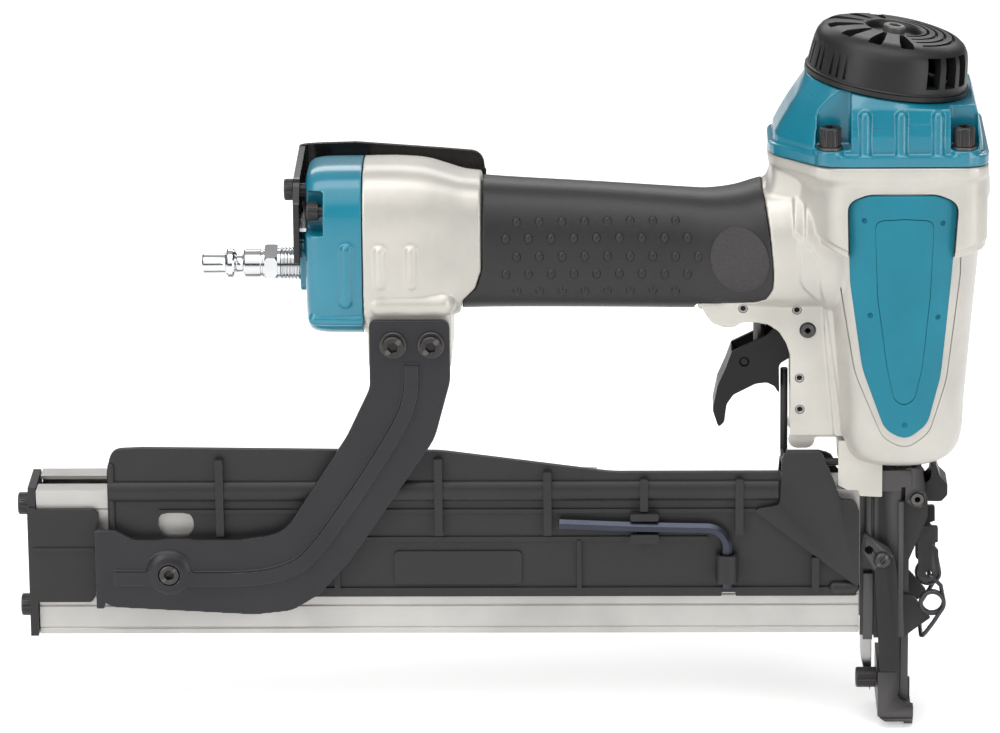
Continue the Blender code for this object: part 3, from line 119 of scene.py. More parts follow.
def surface(name, colour, roughness, metallic=0.0, grain=1400.0, depth=0.03, coat=0.0, edge_highlight=None,
            stretch=(1.0, 1.0, 1.0), specular=0.5):
    """General finish: colour variation, grain bump, roughness variation and painted highlights along sharp
    edges.
    """
    mat, tree, shader = new_material(name)
    dark = tuple(value * 0.88 for value in colour)
    light = tuple(min(value * 1.1, 1.0) for value in colour)
    cloud = noise(tree, object_coords(tree), 28.0, 4.0)
    base = ramp(tree, cloud, [(0.3, dark), (0.7, light)])
    # Lighter colour painted along convex edges stands in for highlights
    if edge_highlight:
        base = painted_edge_highlight(tree, base, edge_highlight)
    tree.links.new(base, shader.inputs["Base Color"])
    fine = noise(tree, object_coords(tree, stretch), grain, 2.0)
    rough = map_range(tree, fine, To_Min=roughness * 0.8, To_Max=roughness * 1.2)
    tree.links.new(rough, shader.inputs["Roughness"])
    shader.inputs["Metallic"].default_value = metallic
    shader.inputs["Specular IOR Level"].default_value = specular
    shader.inputs["Coat Weight"].default_value = coat
    shader.inputs["Coat Roughness"].default_value = 0.12
    bump(tree, shader, fine, depth)
    return mat


DULL = 0.28
MATS = {
    "silver": surface("pearl_casting", (0.50, 0.482, 0.440), 0.38, 0.35, 900.0, 0.05, coat=0.15),
    "teal": surface("teal_enamel", (0.003, 0.165, 0.240), 0.30, 0.0, 500.0, 0.02, coat=0.55),
    "pad": surface("teal_elastomer", (0.004, 0.165, 0.235), 0.52, 0.0, 2400.0, specular=0.35),
    "pad_inner": surface("teal_elastomer_inner", (0.004, 0.165, 0.232), 0.48, 0.0, 2600.0, 0.02,
                         specular=0.35),
    "grip": surface("grip_rubber", (0.018, 0.017, 0.0175), 0.42, 0.0, 1500.0, 0.09, specular=0.4),
    "grip_oval": surface("grip_rubber_oval", (0.042, 0.039, 0.040), 0.72, 0.0, 1150.0, 0.7, specular=0.4),
    "plastic": surface("black_nylon", (0.019, 0.018, 0.018), 0.42, 0.0, 1700.0, 0.05, specular=0.34),
    "cap": surface("exhaust_nylon", (0.015, 0.014, 0.014), 0.40, 0.0, 2000.0, 0.05, specular=0.34),
    # Steel and strap: the lighter edge colour is a painted highlight on their edges
    "steel": surface("coated_steel", (0.018, 0.017, 0.018), 0.38, 0.3, 900.0, edge_highlight=(0.070, 0.067, 0.067),
                     specular=DULL),
    "strap": surface("coated_strap", (0.026, 0.026, 0.029), 0.34, 0.25, 1100.0, edge_highlight=(0.060, 0.060, 0.065),
                     specular=DULL),
    "trigger": surface("trigger_steel", (0.012, 0.011, 0.012), 0.40, 0.2, 1300.0, 0.04, specular=DULL),
    "hook": surface("hook_enamel", (0.006, 0.005, 0.005), 0.28, 0.1, 500.0, 0.02, coat=0.5, specular=DULL),
    "blued": surface("blued_tool_steel", (0.045, 0.050, 0.068), 0.30, 0.85, 700.0, 0.02),
    # The lighter edge colour is a painted highlight on the screw rims and knurl
    "fastener": surface("black_oxide", (0.032, 0.030, 0.030), 0.36, 0.7, edge_highlight=(0.10, 0.096, 0.092)),
    "zinc": surface("grey_zinc", (0.15, 0.145, 0.142), 0.42, 0.6, 1200.0),
    "socket": surface("socket_shadow", (0.006, 0.006, 0.007), 0.6, 0.3),
    "ground": surface("ground_steel", (0.40, 0.39, 0.385), 0.30, 1.0, 700.0, 0.02, stretch=(1.0, 14.0, 1.0)),
    "spring": surface("spring_wire", (0.055, 0.055, 0.060), 0.32, 0.8, 800.0, 0.02),
    "rail": surface("anodised_rail", (0.46, 0.45, 0.43), 0.36, 0.55, 260.0, 0.02, stretch=(0.4, 30.0, 30.0)),
    "chrome": surface("bright_chrome", (0.66, 0.67, 0.68), 0.13, 1.0, 300.0, 0.006),
    "brass": surface("valve_brass", (0.62, 0.43, 0.17), 0.32, 1.0, 700.0, 0.02),
}


# ================================================================ mesh tools
def creases(piece, degrees):
    """Shade smooth across every edge that turns by less than this."""
    piece.data.set_sharp_from_angle(angle=math.radians(degrees))
    return piece


def add_object(bm):
    """Turn a mesh in millimetres into an object; `place` gives it its real name and finish."""
    bmesh.ops.scale(bm, vec=(MM, MM, MM), verts=bm.verts)
    bmesh.ops.recalc_face_normals(bm, faces=bm.faces)
    mesh = bpy.data.meshes.new("shape")
    bm.to_mesh(mesh)
    bm.free()
    mesh.materials.append(MATS["plastic"])
    mesh.shade_smooth()
    obj = bpy.data.objects.new("shape", mesh)
    bpy.context.scene.collection.objects.link(obj)
    return creases(obj, CRISP)


def loft(rings, closed=False):
    bm = bmesh.new()
    loops = [[bm.verts.new(point) for point in ring] for ring in rings]
    pairs = list(zip(loops, loops[1:]))
    if closed:
        pairs.append((loops[-1], loops[0]))
    count = len(loops[0])
    for first, second in pairs:
        for i in range(count):
            j = (i + 1) % count
            bm.faces.new((first[i], first[j], second[j], second[i]))
    if not closed:
        bm.faces.new(list(reversed(loops[0])))
        bm.faces.new(loops[-1])
    return add_object(bm)


def to_space(axis, u, v, w):
    if axis == "X":
        return (w, u, v)
    if axis == "Y":
        return (u, w, v)
    return (u, v, w)


def prism(outline, axis, low, high):
    return loft([[to_space(axis, u, v, w) for u, v in outline] for w in (low, high)])


def side_prism(outline, side, inner, outer):
    low, high = sorted((side * inner, side * outer))
    return prism(outline, "Y", low, high)


def box(low, high):
    outline = [(low[0], low[1]), (high[0], low[1]), (high[0], high[1]), (low[0], high[1])]
    return prism(outline, "Z", low[2], high[2])


def rounded(corners, steps=8):
    """Outline from (u, v, radius) corners; each radius becomes an arc."""
    points = []
    count = len(corners)
    for i, (u, v, radius) in enumerate(corners):
        if radius <= 0:
            points.append((u, v))
            continue
        here = Vector((u, v))
        back = Vector(corners[i - 1][:2]) - here
        ahead = Vector(corners[(i + 1) % count][:2]) - here
        reach = min(radius / math.tan(back.angle(ahead) / 2), 0.49 * back.length, 0.49 * ahead.length)
        start = here + back.normalized() * reach
        end = here + ahead.normalized() * reach
        points += [(point.x, point.y) for point in bend(start, here, end, steps)]
    return points


def bend(start, corner, end, steps=8):
    """Points along a curve that leaves one leg of a corner and joins the other."""
    shares = [k / steps for k in range(steps + 1)]
    return [start * (1 - t) ** 2 + corner * 2 * t * (1 - t) + end * t ** 2 for t in shares]


def rect(u0, v0, u1, v1, radius=0.0, steps=5):
    return rounded([(u0, v0, radius), (u1, v0, radius), (u1, v1, radius), (u0, v1, radius)], steps)


def oval(mid_u, mid_v, half_u, half_v, count=96, power=2.0):
    points = []
    for i in range(count):
        angle = 2 * math.pi * (i + 0.5) / count
        c, s = math.cos(angle), math.sin(angle)
        points.append((mid_u + half_u * math.copysign(abs(c) ** (2 / power), c),
                       mid_v + half_v * math.copysign(abs(s) ** (2 / power), s)))
    return points


def polar(outline, centre=(-10.0, 0.0), count=96):
    """Sample an outline at even angles about a centre, so that it can be lofted to an oval."""
    points = []
    middle = Vector(centre)
    for i in range(count):
        angle = 2 * math.pi * (i + 0.5) / count
        ray = Vector((math.cos(angle), math.sin(angle)))
        best = 0.0
        for k, corner in enumerate(outline):
            a = Vector(corner) - middle
            b = Vector(outline[(k + 1) % len(outline)]) - middle
            edge = b - a
            cross = ray.cross(edge)
            if abs(cross) < 1e-9:
                continue
            along = a.cross(edge) / cross
            share = a.cross(ray) / cross
            if along > best and -1e-6 <= share <= 1 + 1e-6:
                best = along
        points.append(tuple(middle + ray * best))
    return points


def turn_to(axis):
    """Rotation that takes +Z to an axis."""
    return Vector((0, 0, 1)).rotation_difference(Vector(axis).normalized()).to_matrix()


def turned(profile, centre, axis, segments=48, hollow=False):
    """Revolve (radius, height) points about an axis through centre; hollow joins last to first."""
    turn = turn_to(axis)
    rings = []
    for radius, height in profile:
        ring = []
        for i in range(segments):
            angle = 2 * math.pi * (i + 0.5) / segments
            local = Vector((radius * math.cos(angle), radius * math.sin(angle), height))
            ring.append(Vector(centre) + turn @ local)
        rings.append(ring)
    return loft(rings, closed=hollow)


def cylinder(radius, low, high, centre, axis, segments=48):
    return turned([(radius, low), (radius, high)], centre, axis, segments)


def swept(path, radius, sides=16, phase=0.5):
    points = [Vector(p) for p in path]
    tangents = []
    for i in range(len(points)):
        before, after = points[max(i - 1, 0)], points[min(i + 1, len(points) - 1)]
        tangents.append((after - before).normalized())
    normal = tangents[0].orthogonal().normalized()
    rings = []
    for i, (point, tangent) in enumerate(zip(points, tangents)):
        if i:
            normal = tangents[i - 1].rotation_difference(tangent) @ normal
        side = tangent.cross(normal)
        ring = []
        for k in range(sides):
            angle = 2 * math.pi * (k + phase) / sides
            ring.append(point + radius * (math.cos(angle) * normal + math.sin(angle) * side))
        rings.append(ring)
    return loft(rings)


def blob(centre, radii, rings=12, segments=20):
    """Ellipsoid, as a lofted ball with small flat poles."""
    loops = []
    for k in range(rings + 1):
        polar_angle = math.pi * (0.02 + 0.96 * k / rings)
        loop = []
        for i in range(segments):
            around = 2 * math.pi * i / segments
            loop.append(Vector(centre) + Vector((radii[0] * math.sin(polar_angle) * math.cos(around),
                                                 radii[1] * math.sin(polar_angle) * math.sin(around),
                                                 radii[2] * math.cos(polar_angle))))
        loops.append(loop)
    return loft(loops)


def capsule(start, end, radius, steps=6):
    """Round bar with ball ends."""
    start, end = Vector(start), Vector(end)
    length = (end - start).length
    profile = []
    for k in range(steps + 1):
        angle = math.pi / 2 * (1 - k / steps) * 0.98
        profile.append((radius * math.cos(angle), -radius * math.sin(angle)))
    profile += [(r, length - h) for r, h in reversed(profile)]
    return turned(profile, start, end - start, 20)


def bake(piece):
    """Turn a piece's modifiers into its mesh."""
    graph = bpy.context.evaluated_depsgraph_get()
    mesh = bpy.data.meshes.new_from_object(piece.evaluated_get(graph))
    piece.modifiers.clear()
    old, piece.data = piece.data, mesh
    bpy.data.meshes.remove(old)
    return piece


def combine(target, operation, others):
    for other in others:
        modifier = target.modifiers.new("shape", "BOOLEAN")
        modifier.operation = operation
        modifier.solver = "MANIFOLD"
        modifier.object = other
    bake(target)
    for other in others:
        bpy.data.objects.remove(other, do_unlink=True)
    return target


def join(target, *others):
    return combine(target, "UNION", others)


def cut(target, *others):
    return combine(target, "DIFFERENCE", others)


def keep(target, other):
    return combine(target, "INTERSECT", [other])


def cast(piece, voxel, rounds):
    """Flow a rough solid into one smooth casting, with every edge and inside corner rounded."""
    remesh = piece.modifiers.new("cast", "REMESH")
    remesh.mode = "VOXEL"
    remesh.voxel_size = voxel * MM
    smooth = piece.modifiers.new("soften", "SMOOTH")
    smooth.factor = 0.5
    smooth.iterations = rounds
    bake(piece)
    piece.data.shade_smooth()
    return piece


def soft_edges(piece, width, segments=3, angle=30.0):
    """Rounded edges that catch the light."""
    weld = piece.modifiers.new("weld", "WELD")
    weld.merge_threshold = 0.00002
    flat = piece.modifiers.new("flat", "DECIMATE")
    flat.decimate_type = "DISSOLVE"
    flat.angle_limit = math.radians(0.6)
    edges = piece.modifiers.new("edges", "BEVEL")
    edges.width = width * MM
    edges.segments = segments
    edges.limit_method = "ANGLE"
    edges.angle_limit = math.radians(angle)
    piece.data.shade_smooth()
    normals = piece.modifiers.new("normals", "WEIGHTED_NORMAL")
    normals.mode = "FACE_AREA"
    normals.weight = 100
    normals.thresh = 0.5
    return piece


def place(piece, name, mat, body, slot, *nodes):
    """Give a piece its name, finish and CAD body, and hide the CAD nodes that it stands for; the slot is not
    used.
    """
    piece.name = piece.data.name = name
    piece.data.materials[0] = MATS[mat]
    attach(piece, body)
    if nodes:
        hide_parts(*nodes)
    return piece


def repaint(node, mat, edge):
    """Keep a CAD node, with a better finish and rounded edges."""
    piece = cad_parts[node]
    piece.data.materials.clear()
    piece.data.materials.append(MATS[mat])
    if edge:
        soft_edges(piece, edge)


def merged(pieces):
    """Several separate solids as one object, for use as one cutter or one set of bumps."""
    bm = bmesh.new()
    for piece in pieces:
        bm.from_mesh(piece.data)
        bpy.data.objects.remove(piece, do_unlink=True)
    bmesh.ops.scale(bm, vec=(1 / MM, 1 / MM, 1 / MM), verts=bm.verts)
    return add_object(bm)


def smooth_stations(stations, steps=4):
    """Catmull-Rom points between given stations, so that a loft has no corners."""
    out = []
    last = len(stations) - 1
    for i in range(last):
        p0, p1 = stations[max(i - 1, 0)], stations[i]
        p2, p3 = stations[i + 1], stations[min(i + 2, last)]
        for k in range(steps):
            t = k / steps
            out.append(tuple(
                0.5 * (2 * b + (c - a) * t + (2 * a - 5 * b + 4 * c - d) * t * t
                       + (3 * b - a - 3 * c + d) * t ** 3)
                for a, b, c, d in zip(p0, p1, p2, p3)))
    out.append(stations[last])
    return out


def mirrored(points):
    """Points of the near half of an outline, then the same points on the far side, in reverse."""
    return points + [(u, -v, *rest) for u, v, *rest in reversed(points)]


# ================================================================ housing
DRIVE_X = -4.5
FLANGE_TOP = 238.0
WEB_HALF = 15.0
REAR_JOINT_X = -216.5

BARREL = smooth_stations([
    # height, middle X, half length, half width
    (111.0, -4.5, 14.0, 18.0), (112.5, -4.5, 19.5, 23.5), (116.0, -4.5, 23.5, 26.5),
    (123.0, -4.5, 25.5, 28.6), (137.0, -4.5, 26.3, 30.7), (165.0, -4.5, 28.5, 33.0),
    (200.0, -4.5, 31.5, 34.5), (222.0, -5.0, 33.0, 35.5), (236.0, -5.0, 33.0, 35.5),
])
HANDLE = smooth_stations([
    # X, middle height, half height, half width
    (-186.0, 200.0, 27.5, 21.5), (-165.0, 199.0, 26.0, 20.0), (-123.0, 197.6, 24.8, 19.0),
    (-90.0, 196.3, 23.8, 19.5), (-80.0, 196.0, 23.6, 20.6), (-70.0, 196.5, 24.3, 22.0),
    (-62.0, 197.6, 25.5, 23.4), (-50.0, 199.0, 27.0, 25.0),
], steps=6)
NECK = HANDLE[:-1] + smooth_stations([HANDLE[-1], (-36.0, 200.5, 28.0, 25.5), (-20.0, 201.0, 28.5, 26.0)])
NECK_EDGE = [
    # Where the bare neck starts, just clear of the grip, from the top down
    (-62.0, 236.0), (-60.0, 226.1), (-58.1, 219.6), (-56.2, 209.2), (-55.2, 198.8), (-54.6, 190.0),
    (-55.2, 184.5), (-57.6, 180.0), (-62.0, 178.2), (-84.6, 176.7),
]
COLLAR = smooth_stations([
    (REAR_JOINT_X, 198.0, 34.0, 24.0), (-203.0, 198.3, 33.8, 24.0), (-192.0, 199.0, 32.2, 23.8),
    (-184.0, 199.4, 29.6, 22.4), (-177.0, 199.7, 27.2, 21.0), (-170.0, 199.7, 26.4, 20.4),
])
FLANGE = rounded(mirrored([(-57.0, -15.0, 16.0), (-36.0, -38.0, 18.0), (29.0, -38.0, 10.0)]))
GRIP_END = [(-178.5, 164.7, 0), (-178.0, 179.2, 4), (-172.5, 184.7, 6), (-169.8, 193.3, 4)]
PAD_OUTLINE = rounded([
    (-26.0, 223.5, 7), (-18.0, 226.6, 14), (8.5, 226.6, 14), (17.0, 223.0, 7), (14.5, 190.0, 60),
    (11.0, 152.0, 40), (6.0, 132.0, 10), (-2.5, 125.0, 9), (-11.0, 130.0, 10), (-20.0, 155.0, 40),
    (-25.0, 190.0, 60),
])
WEB_STEPS = [
    # Half width of the step, then its rear edge from the top down
    (16.3, [(-47.0, 234.0), (-46.6, 209.0), (-44.2, 206.0), (-44.1, 189.0), (-42.6, 185.6), (-34.9, 177.0),
            (-33.8, 159.3), (-31.5, 136.0), (-30.2, 121.3)]),
    (17.7, [(-42.4, 234.0), (-42.2, 205.2), (-36.5, 198.7), (-36.0, 185.0), (-33.6, 176.0), (-31.6, 160.0),
            (-28.6, 137.0), (-27.0, 121.3)]),
]
# X and Z of the pins across the web
TRIGGER_PIN = (-41.0, 166.0)
WEB_HOLES = [(-66.6, 175.0), (-45.3, 174.3), (-44.2, 146.2), (-44.0, 133.2)]
BODY_POWER = 2.5


def barrel(grow):
    """The barrel's outside, moved outwards by grow."""
    return loft([[(x, y, height) for x, y in oval(mid, 0.0, half_x + grow, half_y + grow, power=BODY_POWER)]
                 for height, mid, half_x, half_y in BARREL])


def handle(grow, stations=None, power=BODY_POWER):
    """The handle's outside, or another body along X, moved outwards by grow."""
    return loft([[(x, y, z) for y, z in oval(0.0, mid, half_y + grow, half_z + grow, power=power)]
                 for x, mid, half_z, half_y in stations or HANDLE])


def half_width(stations, along, across):
    """Half width of the barrel or the handle at a point of its side."""
    for before, after in zip(stations, stations[1:]):
        if before[0] <= along <= after[0]:
            t = (along - before[0]) / (after[0] - before[0])
            mid, half, half_y = (before[k] + (after[k] - before[k]) * t for k in (1, 2, 3))
            share = min(abs((across - mid) / half), 1.0)
            return half_y * (1 - share ** BODY_POWER) ** (1 / BODY_POWER)
    return stations[-1][3]


def grown(outline, amount):
    """Outline moved outwards from its middle."""
    mid = sum((Vector(p) for p in outline), Vector((0, 0))) / len(outline)
    return [tuple(Vector(p) + (Vector(p) - mid).normalized() * amount) for p in outline]


def skirt():
    """The barrel's flared top, blended from its oval to the head's flange."""
    top = polar(FLANGE)
    low = polar(oval(-7.0, 0.0, 38.0, 36.3, power=2.7))
    blend = [(220.0, 1.0), (226.0, 0.9), (229.5, 0.62), (231.5, 0.32), (232.8, 0.10), (234.0, 0.0),
             (FLANGE_TOP, 0.0)]
    return loft([[(a[0] + (b[0] - a[0]) * share, a[1] + (b[1] - a[1]) * share, height)
                  for a, b in zip(top, low)] for height, share in blend])


def jacket():
    """Thicker wall round the barrel's upper part, in two steps that end in a sloping ledge."""
    parts = []
    for grow, drop in ((0.0, 3.2), (1.8, 0.0)):
        outline = rounded(mirrored([(-46.0 - grow * 0.4, -17.0, 10), (-30.0, -35.0 - grow, 14),
                                    (28.4 + grow * 0.3, -35.0 - grow, 12)]))
        ledge = [(-60.0, 218.0), (-46.5, 213.0), (-25.0, 203.4), (15.0, 203.4), (24.0, 206.0), (40.0, 209.0)]
        edge = [(x, z - drop) for x, z in ledge] + [(40.0, 250.0), (-60.0, 250.0)]
        parts.append(keep(prism(outline, "Z", 195.0, 233.0), prism(edge, "Y", -60.0, 60.0)))
    return parts


def web_solids():
    """Web behind the barrel that holds the trigger, and its two raised steps."""
    outline = [
        (-84.0, 177.2), (-81.1, 171.9), (-78.8, 168.9), (-74.2, 167.0), (-70.2, 167.1), (-67.5, 168.9),
        (-63.9, 169.2), (-57.1, 168.3), (-52.5, 165.3), (-49.6, 160.5), (-48.1, 155.7), (-47.8, 121.0),
        (-12.0, 121.0), (-5.0, 140.0), (-5.0, 234.0), (-50.0, 234.0), (-54.0, 227.0), (-54.0, 177.2),
    ]
    parts = [prism(outline, "Y", -WEB_HALF, WEB_HALF), box((-84.0, -9.5, 173.0), (-50.0, 9.5, 190.0))]
    for half, edge in WEB_STEPS:
        step = edge + [(-8.0, edge[-1][1]), (-8.0, 234.0)]
        parts.append(prism(rounded([(x, z, 1.5) for x, z in step], 3), "Y", -half, half))
    return parts


def neck_solids():
    """Bare neck between the grip and the barrel, with a saddle that rises to the flange."""
    edge = NECK_EDGE + [(-84.6, 160.0), (-15.0, 160.0), (-15.0, 236.0)]
    parts = [keep(handle(-0.1, NECK), prism(edge, "Y", -40.0, 40.0))]
    saddle = []
    for height, rear, half_y in ((216.0, -59.0, 12.0), (220.5, -59.6, 13.0), (223.0, -57.6, 14.0),
                                 (226.0, -56.3, 14.5), (230.0, -55.8, 15.0), (236.5, -56.4, 16.0)):
        wide = -half_y - 12.0
        outline = rounded(mirrored([(rear, -half_y, 7), (-30.0, wide, 6), (-10.0, wide, 1)]))
        saddle.append([(x, y, height) for x, y in outline])
    parts.append(loft(saddle))
    for grow, (_, step) in zip((0.9, 1.9), WEB_STEPS):
        edge = step + [(-12.0, step[-1][1]), (-12.0, 236.0), (step[0][0], 236.0)]
        parts.append(keep(handle(grow, NECK), prism(edge, "Y", -40.0, 40.0)))
    return parts


def collar_solids():
    """Swollen rear end of the handle, with the boss for the strap and its raised bars."""
    parts = [handle(0.0, COLLAR, 3.6), prism(rect(-215.0, 152.0, -182.0, 182.0, 3, 8), "Y", -21.3, 21.3)]
    for side in (NEAR, FAR):
        parts.append(capsule((-210.5, side * 19.2, 178.8), (-185.5, side * 19.2, 178.8), 5.4))
        for x in (-209.8, -197.4):
            parts.append(capsule((x, side * 22.4, 187.6), (x, side * 22.9, 201.2), 2.8))
    return parts


def post_solids():
    """Post under the barrel that carries the nose, and the lugs behind it."""
    outline = rounded([(-29.0, 130.0, 0), (-29.0, 113.0, 3), (-27.0, 107.5, 3), (-22.5, 101.2, 1.5),
                       (-11.9, 101.2, 0.5), (-11.9, 130.0, 0)])
    lugs = [capsule((-45.0, side * 11.6, 119.8), (-41.5, side * 11.6, 119.8), 3.6) for side in (NEAR, FAR)]
    return [prism(outline, "Y", -12.2, 12.2), *lugs]


def pad_groove(side):
    """Cutter for a fine line round a pad's outline on one side of the barrel."""
    outline = grown(PAD_OUTLINE, 4.2)
    ring = side_prism(grown(outline, 0.55), side, 12.0, 60.0)
    cut(ring, side_prism(outline, side, 10.0, 62.0))
    keep(ring, barrel(0.8))
    return cut(ring, barrel(-0.35))


def housing_cuts():
    """Machined faces, bores and the seats of the pads and roll pins."""
    cuts = [box((-60.0, -17.5, 100.0), (-13.0, -12.6, 122.6)),
            cylinder(22.3, 124.3, 250.0, (DRIVE_X, 0, 0), UP),
            box((-5.6, -12.9, 90.0), (-3.4, 12.9, 130.0)),
            cylinder(7.3, 172.0, 192.0, (-60.0, 0, 0), UP),
            box((-230.0, -40.0, 140.0), (REAR_JOINT_X, 40.0, 250.0)),
            box((-70.0, -50.0, FLANGE_TOP), (40.0, 50.0, 250.0)),
            cylinder(3.25, -30.0, 30.0, (TRIGGER_PIN[0], 0, TRIGGER_PIN[1]), ACROSS, 32)]
    for side in (NEAR, FAR):
        cuts.append(cut(side_prism(grown(PAD_OUTLINE, 0.7), side, 15.0, 60.0), barrel(0.15)))
        cuts += [cylinder(1.9, 0.0, 12.0, (x, side * 9.5, z), (0, side, 0), 20) for x, z in WEB_HOLES]
    return cuts + [pad_groove(side) for side in (NEAR, FAR)]


def make_housing():
    housing = join(barrel(0.0), skirt(), *jacket(), *web_solids(), handle(-3.3), *post_solids(),
                   *collar_solids(), *neck_solids())
    trigger_slot = box((-90.0, -8.6, 139.0), (-34.5, 8.6, 175.0))
    grip_end = prism(rounded(GRIP_END + [(-160.0, 193.3, 0), (-160.0, 165.0, 0)]), "Y", -40.0, 40.0)
    cut(housing, trigger_slot)
    cut(housing, cut(grip_end, handle(-3.3)))
    cast(housing, 0.62, 5)
    post_wall = rounded([
        (-28.7, 121.0, 0), (-28.7, 102.5, 1.5), (-24.8, 100.5, 1), (-20.8, 100.5, 0), (-20.0, 98.0, 0.5),
        (-11.2, 97.6, 0.5), (-11.2, 121.0, 0),
    ], 3)
    join(housing, side_prism(post_wall, NEAR, 17.4, 18.15))
    cut(housing, *housing_cuts())
    place(creases(housing, CAST_CRISP), "housing_casting", "silver", "frame", "cast_silver", "main_housing")
    profile = [(0.95, 0.0), (1.8, 0.0), (1.8, 5.0), (1.55, 5.3), (1.2, 5.3), (0.95, 5.0)]
    for side, label in SIDES:
        for i, (x, z) in enumerate(WEB_HOLES):
            pin = turned(profile, (x, side * 9.6, z), (0, side, 0), 24, True)
            place(pin, f"roll_pin_{label}_{i}", "ground", "frame", "bright_steel")


# ================================================================ grip and pads
GRIP_ROWS = [
    # Height, X of the first bump, number of bumps
    (211.4, -155.9, 8), (205.0, -160.2, 9), (197.7, -155.9, 9), (190.6, -160.2, 9), (183.4, -155.9, 8),
]
GRIP_PITCH = 8.95
PATCH_CENTRE, PATCH_TILT = (-68.0, 196.8), math.radians(14.0)
PAD_PANEL = rounded([
    (-15.6, 216.8, 4), (-4.0, 217.6, 10), (7.6, 216.8, 4), (6.4, 185.0, 40), (3.6, 156.0, 20),
    (0.6, 142.5, 5), (-3.6, 140.0, 5), (-7.4, 142.5, 5), (-10.4, 156.0, 20), (-14.4, 185.0, 40),
])
PAD_DIMPLES = [(-19.6, 216.5), (10.8, 215.3), (-17.0, 177.7), (9.4, 176.8), (-3.2, 132.0)]


def make_grip():
    outline = rounded([
        (-169.3, 232.0, 0), (-169.5, 193.0, 4), (-172.2, 184.5, 6), (-177.7, 179.0, 4), (-178.2, 165.0, 0),
        (-88.0, 165.0, 0), (-84.9, 177.0, 3), (-66.0, 178.2, 5), (-58.0, 179.0, 6), (-54.8, 186.0, 6),
        (-55.2, 198.0, 10), (-58.0, 219.0, 10), (-60.0, 226.0, 3), (-62.2, 232.0, 0),
    ])
    grip = keep(handle(0.0), prism(outline, "Y", -40.0, 40.0))
    cast(grip, 0.6, 4)
    cut(grip, handle(-3.0), box((-84.6, -WEB_HALF - 0.4, 150.0), (-40.0, WEB_HALF + 0.4, 177.6)))
    bumps = []
    for height, first, count in GRIP_ROWS:
        for i in range(count):
            x = first + GRIP_PITCH * i
            for side in (NEAR, FAR):
                y = side * (half_width(HANDLE, x, height) - 0.2)
                bumps.append(blob((x, y, height), (1.7, 1.15, 2.1), rings=10, segments=18))
    join(grip, merged(bumps))
    place(creases(grip, CAST_CRISP), "grip_cover", "grip", "frame", "black_rubber", "grip_sleeve")


def make_grip_patches():
    """Coarser oval patch at the front of the grip, on each side."""
    c, s = math.cos(PATCH_TILT), math.sin(PATCH_TILT)
    outline = [(PATCH_CENTRE[0] + u * c - v * s, PATCH_CENTRE[1] + u * s + v * c)
               for u, v in oval(0.0, 0.0, 11.4, 13.4, count=64)]
    for side, label in SIDES:
        patch = keep(side_prism(outline, side, 12.0, 40.0), handle(0.45))
        cut(patch, handle(-1.0))
        place(soft_edges(patch, 0.2, 2), f"grip_patch_{label}", "grip_oval", "frame", "black_rubber")


def make_pad(side, label):
    pad = keep(side_prism(PAD_OUTLINE, side, 20.0, 60.0), barrel(2.55))
    cast(cut(pad, barrel(0.3)), 0.45, 3)
    recess = cut(side_prism(PAD_PANEL, side, 20.0, 60.0), barrel(1.75))
    dimples = [blob((x, side * (half_width(BARREL, z, x) + 2.6), z), (1.15, 0.95, 1.15))
               for x, z in PAD_DIMPLES]
    cut(pad, recess, merged(dimples))
    creases(pad, CAST_CRISP)
    place(pad, f"side_pad_cover_{label}", "pad", "frame", "teal_rubber", f"side_pad_{label}")
    panel = keep(side_prism(grown(PAD_PANEL, -0.35), side, 20.0, 60.0), barrel(2.5))
    cut(panel, barrel(1.8))
    place(soft_edges(panel, 0.25, 2), f"side_pad_panel_{label}", "pad_inner", "frame", "teal_rubber")


# ================================================================ head and exhaust cover
COVER_CENTRE = Vector((-10.5, 0.0, 264.0))
COVER_TILT = math.radians(9.0)
COVER_AXIS = Vector((math.sin(COVER_TILT), 0.0, math.cos(COVER_TILT)))
COVER_FRAME = Matrix.Translation(COVER_CENTRE) @ turn_to(COVER_AXIS).to_4x4()
HEAD_BASE = 238.4
BOLT_SEAT = HEAD_BASE + 6.4
HEAD_BOLTS = {"near_rear": (-33.0, -32.0), "near_front": (19.0, -32.0), "far_rear": (-33.0, 32.0),
              "far_front": (19.0, 32.0)}
HEAD_SECTIONS = [
    # Height, rear X, front X, half width, front corner radius
    (240.0, -55.5, 27.0, 35.6, 9.0), (246.0, -54.6, 26.6, 35.4, 9.0), (250.0, -52.5, 26.0, 35.1, 9.0),
    (256.0, -49.0, 25.0, 34.3, 9.0), (260.5, -46.0, 23.6, 33.4, 10.0),
]


def head_body():
    """Tapered body of the head, from its sections up to the round seat of the exhaust cover."""
    rings = []
    for height, rear, front, half_y, corner in HEAD_SECTIONS:
        outline = rounded(mirrored([(rear, -15.0, 14.0), (rear + 17.0, -half_y, 18.0),
                                    (front, -half_y, corner)]))
        rings.append([(x, y, height) for x, y in polar(outline)])
    slope = math.tan(COVER_TILT)
    seat = polar(oval(COVER_CENTRE.x, 0.0, 31.6, 31.6))
    rings.append([(x, y, COVER_CENTRE.z - 0.3 - (x - COVER_CENTRE.x) * slope) for x, y in seat])
    return loft(rings)


def bolt_pocket(x, y):
    """Cutters for the niche that leaves room for a head bolt."""
    low, high, lean = (-39.0, -25.0, 3.2) if x < 0 else (13.8, 24.3, 0.0)
    base = BOLT_SEAT - 0.2
    wall = [(low, base), (high, base), (high, 280.0), (low + lean, 280.0)]
    return [side_prism(wall, NEAR if y < 0 else FAR, 25.6, 60.0), cylinder(5.6, base, 285.0, (x, y, 0), UP)]


def head_seam(side, start, end):
    """Cutter for one stretch of the fine line across the ribs."""
    rise, foot, from_x = 0.068, 252.6, -24.6
    low, high = foot + (start - from_x) * rise, foot + (end - from_x) * rise
    return side_prism([(start, low), (end, high), (end, high + 0.35), (start, low + 0.35)], side, 34.45, 45.0)


